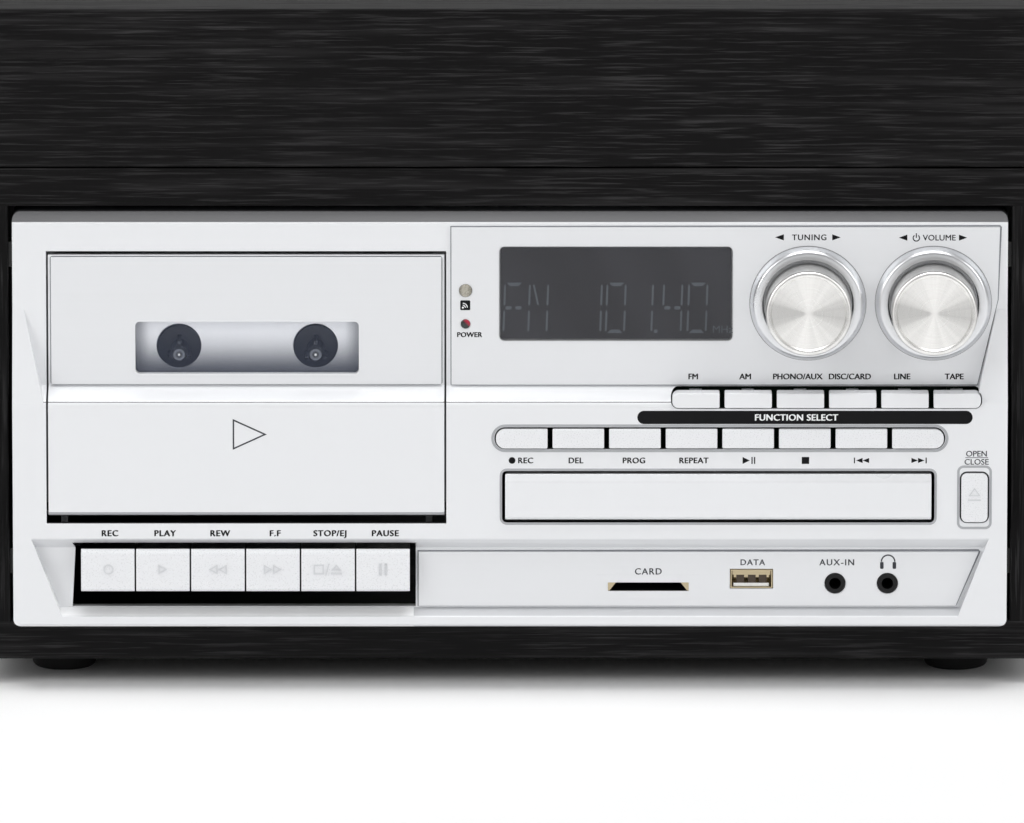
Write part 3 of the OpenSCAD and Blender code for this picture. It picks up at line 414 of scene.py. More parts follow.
@dataclass(frozen=True)
class Spun(Finish):
    """Metal turned on a lathe about the object's own Z axis, with a painted reflection in its face.

    Args:
        colour: Linear base colour.
        rough: Roughness.
        anisotropy: Strength of the drawn-out highlights.
        pitch: Turning rings per metre of radius.
    """

    colour: Colour
    rough: float = 0.3
    anisotropy: float = 0.8
    pitch: float = 2400.0

    def cover(self, shader: Shader, place: Signal) -> None:
        """Paints the surface."""
        x = shader.axis(place, 0)
        y = shader.axis(place, 1)
        radius = (x * x + y * y).root()
        ring = shader.node("ShaderNodeCombineXYZ", inputs={0: radius})
        lines = shader.noise(ring, (self.pitch, 1.0, 1.0), 3.0, 0.7)
        # Painted reflection: two darker wedges, left and right of the middle and streaked by angle,
        # stand for the highlights of spun metal.
        level = abs(x) / (radius + 0.00001)
        fan = shader.node(
            "ShaderNodeCombineXYZ",
            inputs={0: x / (radius + 0.00001), 1: y / (radius + 0.00001)},
        )
        streaks = shader.noise(fan, (2.2, 2.2, 1.0), 3.0, 0.6)
        painted_reflection_wedge = level.remap(0.86, 1.0) * 0.75 + streaks.remap(0.35, 0.65) * 0.35
        open_middle = radius.remap(0.0003, 0.002)
        tone = shader.mix(painted_reflection_wedge * open_middle, self.colour, shaded(self.colour, 0.7))
        shader.paint(
            base_color=shader.mix(lines * 0.12, tone, shaded(self.colour, 0.6)),
            roughness=lines.remap(0.3, 0.7, self.rough * 0.85, self.rough * 1.15),
            metallic=1.0,
            anisotropic=self.anisotropy,
            normal=shader.bump(lines, 0.000004),
        )


@dataclass(frozen=True)
class WoodGrain(Finish):
    """Black wood-grain foil, its veins along the rails and up the side boards.

    Args:
        inner_half: Half the width between the side boards.
        low: Height of the floor board's top.
        high: Height of the top rail's underside.
    """

    inner_half: float
    low: float
    high: float

    def cover(self, shader: Shader, place: Signal) -> None:
        """Paints the surface."""
        across = abs(shader.axis(place, 0))
        up = shader.axis(place, 2)
        side = (across > self.inner_half) * (up > self.low) * (up < self.high)
        flat = self.veins(shader, place, (40.0, 500.0, 1300.0))
        tall = self.veins(shader, place, (1300.0, 500.0, 40.0))
        vein = tall * side + flat * (1.0 - side)
        cloud = shader.even(place, 7.0)
        shader.paint(
            base_color=shader.mix(
                vein * cloud.remap(0.3, 0.7, 0.55, 1.0), (0.003, 0.0028, 0.003),
                (0.036, 0.035, 0.036),
            ),
            roughness=vein.remap(0.0, 1.0, 0.5, 0.68),
            specular_ior_level=0.12,
            normal=shader.bump(vein, -0.00006),
        )

    def veins(self, shader: Shader, place: Signal, scale: Sequence[float]) -> Signal:
        """Open pores drawn out along one axis.

        Args:
            shader: The material.
            place: Coordinates.
            scale: Features per metre along each axis.

        Returns:
            1 in a pore, 0 between them.
        """
        fine = shader.noise(place, scale, 3.0, 0.6)
        wide = shader.noise(place, tuple(s * 0.3 for s in scale), 3.0, 0.55)
        return fine.remap(0.5, 0.66) * 0.75 + wide.remap(0.46, 0.7) * 0.45


@dataclass(frozen=True)
class Clear(Finish):
    """Clear or smoked plastic with a polished face.

    Args:
        colour: Linear colour of what passes through.
        alpha: How much of the face covers what is behind it.
        rough: Roughness.
    """

    colour: Colour
    alpha: float
    rough: float = 0.06

    def cover(self, shader: Shader, place: Signal) -> None:
        """Paints the surface."""
        haze = shader.even(place, 160.0)
        shader.paint(
            base_color=self.colour,
            roughness=haze.remap(0.2, 0.8, self.rough * 0.7, self.rough * 1.4),
            alpha=haze.remap(0.2, 0.8, self.alpha * 0.97, min(1.0, self.alpha * 1.03)),
        )


@dataclass(frozen=True)
class Moulded(Finish):
    """Silver moulding with painted shade on its bevel, recess slopes, slot rims, walls and side
    lugs.

    Args:
        colour: Linear base colour.
        face: Object depth in metres of the lower face.
        floor: Object depth of the recess's floor.
        bevel_from: Object height above which the top bevel starts, painted dark grey as shade.
        recess_top: Object height below which the recess lies.
        slot_top: Object height below which the walls of the slots are painted dark as shade.
        half: Half width of the faces, beyond which the lugs are painted dark as shade.
        rough: Roughness.
        foot_drop: How far below the recess's top its foot slope, in darker painted shade, starts.
        left_foot: Object X left of which the foot slope is painted bright as light.
    """

    colour: Colour
    face: float
    floor: float
    bevel_from: float
    recess_top: float
    slot_top: float
    half: float
    rough: float = 0.34
    foot_drop: float = 0.012
    left_foot: float = -0.03

    def cover(self, shader: Shader, place: Signal) -> None:
        """Paints the surface."""
        skin = shader.even(place, SKIN_PITCH)
        drift = shader.even(place, DRIFT_PITCH)
        side, deep, up = abs(shader.axis(place, 0)), shader.axis(place, 1), shader.axis(place, 2)
        # Masks of the zones painted as shade, and of the foot's left end painted as light.
        bevel = up.remap(self.bevel_from - 0.0002, self.bevel_from + 0.0002)
        behind = deep.remap(self.face + 0.0002, self.face + 0.0007)
        slope = behind * (deep < self.floor - 0.0002) * (up < self.recess_top)
        slots = (up > self.recess_top) * (up < self.slot_top)
        rim = slots * (deep > self.face + 0.00004) * (up < self.slot_top - 0.0036)
        slot_wall_shade = slots * (deep > self.face + 0.00062)
        lug_shade = side > self.half
        foot = slope * (up < self.recess_top - self.foot_drop)
        # Painted shade on the bevel, recess slopes, foot, slot rims, slot walls and lugs; painted
        # light on the foot's left end.
        tone = shader.shades(
            drift * 0.7 + skin * 0.3,
            shaded(self.colour, 0.985),
            shaded(self.colour, 1.015),
            (bevel, (0.09, 0.09, 0.095)),
            (slope, (0.73, 0.74, 0.76)),
            (foot, (0.58, 0.59, 0.61)),
            (foot * (shader.axis(place, 0) < self.left_foot), (0.95, 0.96, 0.97)),
            (rim, (0.40, 0.41, 0.43)),
            (slot_wall_shade, (0.01, 0.01, 0.011)),
            (lug_shade, (0.004, 0.004, 0.004)),
        )
        shader.paint(
            base_color=tone,
            roughness=drift.remap(0.25, 0.75, self.rough * 0.88, self.rough * 1.12),
            metallic=0.12,
            normal=shader.bump(skin, 0.000006),
        )


@dataclass(frozen=True)
class Mouth(Finish):
    """A part whose front edge matches the plate round it and whose inside is painted dark as shade.

    Args:
        front: Linear colour of the front edge.
        inside: Linear colour behind it, painted shade.
        face: Object depth in metres at which one changes to the other.
        rough: Roughness.
    """

    front: Colour
    inside: Colour
    face: float
    rough: float = 0.4

    def cover(self, shader: Shader, place: Signal) -> None:
        """Paints the surface."""
        skin = shader.even(place, SKIN_PITCH)
        # Painted shade: all that lies behind the face is painted dark.
        behind = shader.axis(place, 1) > self.face
        shader.paint(
            base_color=shader.shades(
                skin, shaded(self.front, 0.99), self.front, (behind, self.inside)
            ),
            roughness=skin.remap(0.3, 0.7, self.rough * 0.88, self.rough * 1.12),
            metallic=0.1,
        )


@dataclass(frozen=True)
class Glassy(Finish):
    """Coloured glass or crystal with soft slanting bands, which on the display's crystal glass are
    a painted reflection.

    Args:
        low: Linear colour of the darker bands.
        high: Linear colour of the lighter bands.
        scale: Bands per metre.
        rough: Roughness.
        slant: Turn of the bands in radians.
        grain: Share of an even mottle.
    """

    low: Colour
    high: Colour
    scale: float = 45.0
    rough: float = 0.12
    slant: float = 0.5
    grain: float = 0.2

    def cover(self, shader: Shader, place: Signal) -> None:
        """Paints the surface."""
        along = shader.axis(place, 0) * math.cos(
            self.slant
        ) + shader.axis(place, 2) * math.sin(self.slant)
        drawn = shader.node("ShaderNodeCombineXYZ", inputs={0: along})
        # Slanting bands; on the display's crystal glass they are a painted reflection.
        bands = shader.noise(drawn, (self.scale, 1.0, 1.0), 2.0)
        grain = shader.even(place, self.scale * 14)
        shader.paint(
            base_color=shader.mix(
                (bands * (1.0 - self.grain) + grain * self.grain).remap(0.35, 0.65), self.low,
                self.high,
            ),
            roughness=grain.remap(0.3, 0.7, self.rough * 0.8, self.rough * 1.2),
        )


@dataclass(frozen=True)
class PaintedLightSheet(Finish):
    """Sheet with painted light at its head and painted shade towards its foot and its two ends.

    Args:
        low: Linear colour of the foot.
        high: Linear colour of the head.
        foot: Object height in metres of the film's foot.
        head: Object height above which it no longer changes.
        middle: Object X of its middle.
        half: Half its width in metres.
    """

    low: Colour
    high: Colour
    foot: float
    head: float
    middle: float
    half: float

    def cover(self, shader: Shader, place: Signal) -> None:
        """Paints the surface."""
        # Painted light at the head, painted shade towards the foot and the two ends.
        rise = shader.axis(place, 2).remap(self.foot, self.head)
        ends = abs(shader.axis(place, 0) - self.middle).remap(self.half - 0.005, self.half) * 0.6
        lines = shader.noise(place, Grain.UP.value, 3.0)
        tone = shader.mix(lines * 0.08, shader.mix(rise, self.low, self.high), self.low)
        shader.paint(
            base_color=shader.mix(ends, tone, self.low), roughness=lines.remap(0.3, 0.7, 0.45, 0.55)
        )


@dataclass(frozen=True)
class LampLens(Finish):
    """Dark round lens about its own Z axis, its colour painted in at the upper right as painted
    light.

    Args:
        dark: Linear colour of most of it.
        lit: Linear colour of the side with painted light.
        radius: Radius in metres.
    """

    dark: Colour
    lit: Colour
    radius: float

    def cover(self, shader: Shader, place: Signal) -> None:
        """Paints the surface."""
        # Painted light: lighter and redder towards the upper right.
        painted_light_side = (shader.axis(place, 0) + shader.axis(place, 1)).remap(
            -0.1 * self.radius, 1.1 * self.radius
        )
        grain = shader.even(place, 900.0)
        shader.paint(
            base_color=shader.mix(painted_light_side, self.dark, self.lit),
            roughness=grain.remap(0.3, 0.7, 0.12, 0.2),
        )


# ---- Meshes ----


def keep(mesh: bmesh.types.BMesh, name: str, smooth: float = 35.0) -> bpy.types.Object:
    """Turns a bmesh into an object with smooth faces and sharp creases.

    Args:
        mesh: The geometry, which is freed.
        name: Name of the object.
        smooth: Angle in degrees above which an edge stays sharp.

    Returns:
        The new object.
    """
    data = bpy.data.meshes.new(name)
    mesh.to_mesh(data)
    mesh.free()
    data.shade_smooth()
    data.set_sharp_from_angle(angle=math.radians(smooth))
    for face in data.polygons:
        if face.area > 4e-6 and max(abs(c) for c in face.normal) > 0.9999:
            face.use_smooth = False
    piece = bpy.data.objects.new(name, data)
    bpy.context.scene.collection.objects.link(piece)
    return piece


def clean_copy(node: str) -> bmesh.types.BMesh:
    """A construction node's mesh with doubled points welded and flat faces joined."""
    mesh = bmesh.new()
    mesh.from_mesh(frame["nodes"][node].data)
    bmesh.ops.remove_doubles(mesh, verts=mesh.verts, dist=WELD)
    bmesh.ops.dissolve_limit(mesh, angle_limit=COPLANAR, verts=mesh.verts, edges=mesh.edges)
    return mesh


def hard_edges(mesh: bmesh.types.BMesh, angle: float) -> list[bmesh.types.BMEdge]:
    """Edges between two faces that meet at more than an angle in radians."""
    return [e for e in mesh.edges if len(e.link_faces) == 2 and e.calc_face_angle(0.0) > angle]


def bevel(
    mesh: bmesh.types.BMesh,
    edges: Sequence[bmesh.types.BMEdge],
    width: float,
    segments: int,
    profile: float = 0.6,
    clamp: bool = False,
) -> None:
    """Rounds edges.

    Args:
        mesh: The geometry.
        edges: Edges of it.
        width: Width of the rounding in metres.
        segments: Faces across it.
        profile: Its fullness, 0.5 for a quarter circle.
        clamp: Whether it stops where two roundings would meet.
    """
    bmesh.ops.bevel(
        mesh,
        geom=edges,
        offset=width,
        segments=segments,
        profile=profile,
        affect="EDGES",
        clamp_overlap=clamp,
    )


def eased(node: str, width: float = 0.00025, segments: int = 2) -> bmesh.types.BMesh:
    """A construction node's mesh with its hard edges rounded.

    Args:
        node: Name of the node.
        width: Width of the rounding.
        segments: Faces across the rounding.

    Returns:
        The rounded geometry.
    """
    mesh = clean_copy(node)
    bevel(mesh, hard_edges(mesh, HARD_EDGE), width, segments, clamp=True)
    return mesh


def join(whole: bmesh.types.BMesh, part: bmesh.types.BMesh, place: Matrix | None = None) -> None:
    """Adds one geometry, moved to its place, to another, and frees it."""
    if place is not None:
        bmesh.ops.transform(part, matrix=place, verts=part.verts)
    data = bpy.data.meshes.new("part")
    part.to_mesh(data)
    part.free()
    whole.from_mesh(data)
    bpy.data.meshes.remove(data)


def text_curve(text: str, size: float) -> bpy.types.Curve:
    """A line of plain text about its middle, of a size in its own units."""
    curve = bpy.data.curves.new("lettering", "FONT")
    curve.body = text
    curve.align_x = "CENTER"
    curve.size = size
    return curve


def filled(curve: bpy.types.Curve) -> bpy.types.Mesh:
    """The mesh of a flat curve or a text, which is removed."""
    holder = bpy.data.objects.new("outline", curve)
    bpy.context.scene.collection.objects.link(holder)
    bpy.context.view_layer.update()
    data = bpy.data.meshes.new_from_object(holder)
    bpy.data.objects.remove(holder)
    bpy.data.curves.remove(curve)
    return data


@dataclass
class Workshop:
    """Finishes that are made once and shared, and the way pieces get them.

    Args:
        inner_half: Half the width between the side boards.
        floor_top: Height of the floor board's top.
        rail_low: Height of the top rail's underside.
        moulding: Where the painted shades of the front moulding change, as Moulded takes them.
        socket_face: Depth of the socket plate's face.
        slots: The record's material slots.
    """

    inner_half: float
    floor_top: float
    rail_low: float
    moulding: tuple[float, ...]
    socket_face: float
    slots: frozenset[str]

    def __post_init__(self) -> None:
        """Makes the finishes."""
        silver = (0.83, 0.84, 0.86)
        pane = box_of("cassette_window")
        face = box_of("front_panel")[0].y
        every = (
            WoodGrain("black_woodgrain", self.inner_half, self.floor_top, self.rail_low),
            # Silver moulding with painted shade and painted light in zones.
            Moulded("silver_moulding", silver, *self.moulding),
            # Buttons, painted dark as shade behind the moulding's face.
            Mouth("silver_button", silver, (0.008, 0.008, 0.009), face + 0.0003, 0.3),
            Paint("silver_tray", silver, 0.3, 0.12, 0.000004, coat=0.3),
            Brushed(
                "brushed_plate", (0.80, 0.81, 0.83), metallic=0.2, contrast=0.015, depth=0.0000015
            ),
            Clear("smoked_lens", (0.05, 0.05, 0.056), 0.36, 0.05),
            Clear("clear_window", (0.6, 0.7, 1.0), 0.03, 0.05),
            Paint("chrome_ring", (0.80, 0.81, 0.83), 0.3, 1.0, 0.0),
            Spun("spun_aluminium", (0.95, 0.94, 0.92)),
            # Power lamp's lens, with painted light at its upper right.
            LampLens("lamp_lens", (0.03, 0.035, 0.035), (0.42, 0.02, 0.05), 0.0014),
            Glassy(
                "receiver_lens", (0.03, 0.027, 0.02), (0.55, 0.52, 0.44), 520.0, 0.15, 0.9, 0.55
            ),
            Paint("black_plastic", (0.008, 0.008, 0.0085), 0.5, texture=0.00003, shine=0.25),
            Paint("deck_plastic", (0.011, 0.011, 0.012), 0.42, texture=0.00004, shine=0.35),
            # Card reader, painted dark as shade behind the socket plate's face.
            Mouth(
                "card_plastic", (0.78, 0.79, 0.81), (0.012, 0.012, 0.012), self.socket_face + 0.0002
            ),
            Paint("spindle_plastic", (0.03, 0.032, 0.036), 0.35),
            Paint("circuit_board", (0.004, 0.018, 0.008), 0.5, shine=0.2),
            Brushed("plated_steel", (0.5, 0.51, 0.53), rough=0.4, metallic=1.0),
            Brushed("socket_plating", (0.56, 0.47, 0.31), rough=0.3, metallic=1.0),
            Paint("platter_metal", (0.72, 0.73, 0.74), 0.28, 1.0),
            Paint("black_rubber", (0.012, 0.012, 0.012), 0.75, texture=0.00005, shine=0.3),
            Paint("hardboard", (0.03, 0.026, 0.022), 0.7, texture=0.00006),
            Paint("screw_steel", (0.35, 0.35, 0.36), 0.3, 1.0),
            Paint("stylus_red", (0.35, 0.02, 0.02), 0.35),
            Paint("phono_white", (0.75, 0.75, 0.73), 0.35),
            Paint("phono_red", (0.5, 0.02, 0.02), 0.35),
            Paint("usb_dark", (0.05, 0.032, 0.018), 0.4),
            Paint("usb_white", (0.8, 0.8, 0.78), 0.35),
            # Black rings painted as the shade in the gaps round the knobs.
            Paint("felt", (0.005, 0.005, 0.005), 0.9, shine=0.1),
            Paint("ink", (0.007, 0.007, 0.008), 0.6, shine=0.12),
            Paint("grey_ink", (0.05, 0.052, 0.06), 0.6, shine=0.12),
            Paint("white_ink", (0.86, 0.87, 0.88), 0.5),
            # Painted shadow lines round the plates.
            Paint("seam", (0.25, 0.26, 0.28), 0.5, shine=0.2),
            # Raised signs, painted greyer than the silver round them as painted shade.
            Paint("key_relief", (0.66, 0.67, 0.69), 0.3, 0.1, 0.000004),
            # Sheet behind the cassette window, with painted light at the top and painted shade
            # below and at the ends.
            PaintedLightSheet(
                "well_liner",
                low=(0.07, 0.075, 0.09),
                high=(0.88, 0.89, 0.91),
                foot=pane[0].z,
                head=pane[0].z + 0.0135,
                middle=(pane[0].x + pane[1].x) / 2,
                half=(pane[1].x - pane[0].x) / 2,
            ),
            Paint("hub_tip", (0.12, 0.13, 0.15), 0.4),
            # Painted shade of the chamfers round the slots.
            Paint("rim_silver", (0.42, 0.43, 0.45), 0.35, 0.1, 0.000004),
            # Display's crystal glass, its slanting bands a painted reflection.
            Glassy("crystal_glass", (0.016, 0.017, 0.024), (0.042, 0.044, 0.056), 30.0, grain=0.03),
            Paint("crystal_segment", (0.15, 0.175, 0.205), 0.4),
        )
        self.finishes = {finish.name: finish.build() for finish in every}

    def dress(self, piece: bpy.types.Object, finish: str) -> bpy.types.Object:
        """Gives a piece one finish.

        Args:
            piece: The object.
            finish: Name of the finish.

        Returns:
            The same object.
        """
        piece.data.materials.clear()
        piece.data.materials.append(self.finishes[finish])
        finish in self.slots
        return piece

    def fit(
        self, piece: bpy.types.Object, body: str, finish: str, stands_for: Iterable[str] = ()
    ) -> bpy.types.Object:
        """Dresses a piece, mounts it on a body and hides the nodes that it stands for.

        Args:
            piece: The object, in place.
            body: Name of the body that it rides on.
            finish: Name of the finish.
            stands_for: Construction nodes that it replaces.

        Returns:
            The same object.
        """
        self.dress(piece, finish)
        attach(piece, body)
        nodes = tuple(stands_for)
        if nodes:
            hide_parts(*nodes)
        return piece

    def soften(
        self, node: str, body: str, finish: str, width: float = 0.00025, segments: int = 2
    ) -> bpy.types.Object:
        """Replaces a node by its own form with rounded edges.

        Args:
            node: Name of the node.
            body: Body that it belongs to.
            finish: Name of the finish.
            width: Width of the rounding.
            segments: Faces across the rounding.

        Returns:
            The rounded piece.
        """
        piece = keep(eased(node, width, segments), f"{node}_skin")
        return self.fit(piece, body, finish, (node,))


# ---- Places and printed shapes on the front ----


@dataclass(frozen=True)
class PanelFrame:
    """The front's own axes: millimetres right of its middle, behind the wood and above the foot.

    Args:
        front: Row-frame Y of the wood's front face.
        foot: Row-frame Z of the panel's foot.
    """

    front: float
    foot: float

    def at(self, x: float, y: float, z: float) -> Vector:
        """A point in the row frame, in metres."""
        return Vector((x * MM, self.front + y * MM, self.foot + z * MM))

    def span(self, node: str) -> tuple[Vector, Vector]:
        """A node's lowest and highest corners in the panel's millimetres."""
        shift = Vector((0.0, self.front, self.foot))
        return tuple((corner - shift) / MM for corner in box_of(node))

    def middle(self, node: str) -> Point:
        """The middle of a node as seen from the front."""
        low, high = self.span(node)
        return (low.x + high.x) / 2, (low.z + high.z) / 2

    def matrix(self, x: float, y: float, z: float) -> Matrix:
        """Turns a flat drawing in millimetres to face forward at a place."""
        return Matrix.Translation(self.at(x, y, z)) @ FORWARD @ Matrix.Scale(MM, 4)


def arc(x: float, z: float, radius: float, turns: Iterable[float]) -> list[Point]:
    """Points at some turns, in radians, about a middle."""
    return [(x + radius * math.cos(t), z + radius * math.sin(t)) for t in turns]


def bow(x: float, z: float, radius: float, stroke: float, turns: Sequence[float]) -> list[Point]:
    """Outline of a curved stroke, inside an arc about a middle."""
    return arc(x, z, radius, turns) + arc(x, z, radius - stroke, turns)[::-1]


def circle(x: float, z: float, radius: float, steps: int = 32) -> list[Point]:
    """Points round a circle."""
    return arc(x, z, radius, [2 * math.pi * i / steps for i in range(steps)])


def rounded(low: Point, high: Point, radius: float, steps: int = 6) -> list[Point]:
    """Points round a rectangle with round corners.

    Args:
        low: Lower left corner.
        high: Upper right corner.
        radius: Radius of the corners.
        steps: Chords in each corner.

    Returns:
        The outline, anticlockwise.
    """
    centres = [
        (high[0] - radius, high[1] - radius, 0.0),
        (low[0] + radius, high[1] - radius, 0.5),
        (low[0] + radius, low[1] + radius, 1.0),
        (high[0] - radius, low[1] + radius, 1.5),
    ]
    points = []
    for x, z, start in centres:
        points += arc(x, z, radius, [math.pi * (start + 0.5 * i / steps) for i in range(steps + 1)])
    return points


def inset(points: Sequence[Point], width: float) -> list[Point]:
    """Moves every side of an anticlockwise outline inwards.

    Args:
        points: The outline.
        width: How far each side moves.

    Returns:
        The smaller outline, with as many points.
    """
    moved = []
    for i, (x, z) in enumerate(points):
        before = Vector((x - points[i - 1][0], z - points[i - 1][1])).normalized()
        after = points[(i + 1) % len(points)]
        ahead = Vector((after[0] - x, after[1] - z)).normalized()
        side = Vector((-before.y - ahead.y, before.x + ahead.x))
        reach = width / max(0.2, side.length_squared / 2)
        moved.append((x + side.x * reach, z + side.y * reach))
    return moved


class Stencil:
    """Thin flat shapes printed or laid on a face that looks forward.

    Args:
        panel: Axes of the front.
        level: Depth of the face in the panel's millimetres.
        thick: How far the shapes stand out of the face, in millimetres.
    """

    def __init__(self, panel: PanelFrame, level: float, thick: float = 0.05) -> None:
        self.panel, self.level, self.thick = panel, level, thick
        self.mesh = bmesh.new()
        self.loops: list[list[Point]] = []

    def loop(self, points: Sequence[Point]) -> "Stencil":
        """Adds an outline, which cuts a hole where it lies inside another."""
        self.loops.append(list(points))
        return self

    def frame(self, points: Sequence[Point], stroke: float) -> "Stencil":
        """Adds a line of one width along the inside of an outline."""
        return self.loop(points).loop(inset(points, stroke))

    def bar(self, x0: float, z0: float, x1: float, z1: float) -> "Stencil":
        """Adds a rectangle."""
        return self.loop([(x0, z0), (x1, z0), (x1, z1), (x0, z1)])

    def arrow(self, x: float, z: float, width: float, height: float) -> "Stencil":
        """Adds a triangle round a middle. A negative width points it left."""
        return self.loop(arrow_points(x, z, width, height))

    def write(
        self, text: str, x: float, z: float, cap: float, weight: float = 0.0, spacing: float = 1.0
    ) -> "Stencil":
        """Adds plain lettering.

        Args:
            text: The words.
            x: Middle of the line.
            z: Middle of its capitals.
            cap: Height of the capitals.
            weight: Extra half stroke in millimetres.
            spacing: Space between letters, 1 as the font has it.

        Returns:
            The same stencil.
        """
        for i, shift in enumerate((0.0, -weight, weight) if weight else (0.0,)):
            curve = text_curve(text, cap / CAP_SHARE)
            curve.space_character = spacing
            curve.resolution_u = 4
            self._flatten(curve, x + shift, z - cap / 2 + shift * 0.4, 0.004 * i)
        return self

    def _flatten(self, curve: bpy.types.Curve, x: float, z: float, sunk: float = 0.0) -> None:
        """Adds a flat curve's filled shape at a place, as a thin closed solid."""
        curve.extrude = self.thick / 2
        data = filled(curve)
        data.transform(self.panel.matrix(x, self.level - self.thick / 2 + 0.005 + sunk, z))
        self.mesh.from_mesh(data)
        bpy.data.meshes.remove(data)

    def piece(self, name: str) -> bpy.types.Object:
        """Makes the printed shapes one object."""
        if self.loops:
            curve = bpy.data.curves.new("shapes", "CURVE")
            curve.dimensions = "2D"
            curve.fill_mode = "BOTH"
            for points in self.loops:
                spline = curve.splines.new("POLY")
                spline.points.add(len(points) - 1)
                for point, (x, z) in zip(spline.points, points):
                    point.co = (x, z, 0.0, 1.0)
                spline.use_cyclic_u = True
            self._flatten(curve, 0.0, 0.0)
        bmesh.ops.remove_doubles(self.mesh, verts=self.mesh.verts, dist=TOUCH)
        return keep(self.mesh, name, 30.0)


def arrow_points(x: float, z: float, width: float, height: float) -> list[Point]:
    """Corners of a triangle that points right, or left with a negative width, anticlockwise."""
    corners = [(x - width / 2, z + height / 2), (x - width / 2, z - height / 2), (x + width / 2, z)]
    return corners if width > 0 else corners[::-1]


def turned(profile: Sequence[Point], steps: int = 96) -> bmesh.types.BMesh:
    """A closed form turned about its local Z axis, in metres.

    Args:
        profile: Radius and height in millimetres along the section, from axis to axis.
        steps: Faces round the form.

    Returns:
        The geometry.
    """
    mesh = bmesh.new()
    rings = []
    for radius, height in profile:
        if radius < 1e-6:
            rings.append([mesh.verts.new((0.0, 0.0, height * MM))])
            continue
        reach, up = radius * MM, height * MM
        turns = [2 * math.pi * i / steps for i in range(steps)]
        ring = [(reach * math.cos(t), reach * math.sin(t), up) for t in turns]
        rings.append([mesh.verts.new(spot) for spot in ring])
    for low, high in zip(rings, rings[1:]):
        for i in range(steps):
            j = (i + 1) % steps
            corners = [
                low[i % len(low)], low[j % len(low)], high[j % len(high)], high[i % len(high)]
            ]
            corners = list(dict.fromkeys(corners))
            if len(corners) > 2:
                mesh.faces.new(corners)
    bmesh.ops.recalc_face_normals(mesh, faces=mesh.faces)
    return mesh


# ---- Sub-assemblies ----


@dataclass
class SubAssembly:
    """A group of the object's pieces, built and dressed together.

    Args:
        shop: Finishes and fitting.
        panel: Axes of the front.
    """

    shop: Workshop
    panel: PanelFrame

    def lay(self, shapes: Stencil, name: str, finish: str = "ink", body: str = "cabinet") -> None:
        """Fixes flat or printed shapes to a body as one piece."""
        self.shop.fit(shapes.piece(name), body, finish)


def front_outline(panel: PanelFrame, node: str) -> list[Point]:
    """A node's outline as seen from the front, anticlockwise, in the panel's millimetres."""
    shift = Vector((0.0, panel.front, panel.foot))
    spots = [(v.co - shift) / MM for v in frame["nodes"][node].data.vertices]
    flat = [Vector((round(s.x, 2), round(s.z, 2))) for s in spots]
    order = geometry.convex_hull_2d(flat)
    points = [(flat[i].x, flat[i].y) for i in order]
    area = sum(a[0] * b[1] - b[0] * a[1] for a, b in zip(points, points[1:] + points[:1]))
    return points if area > 0 else points[::-1]


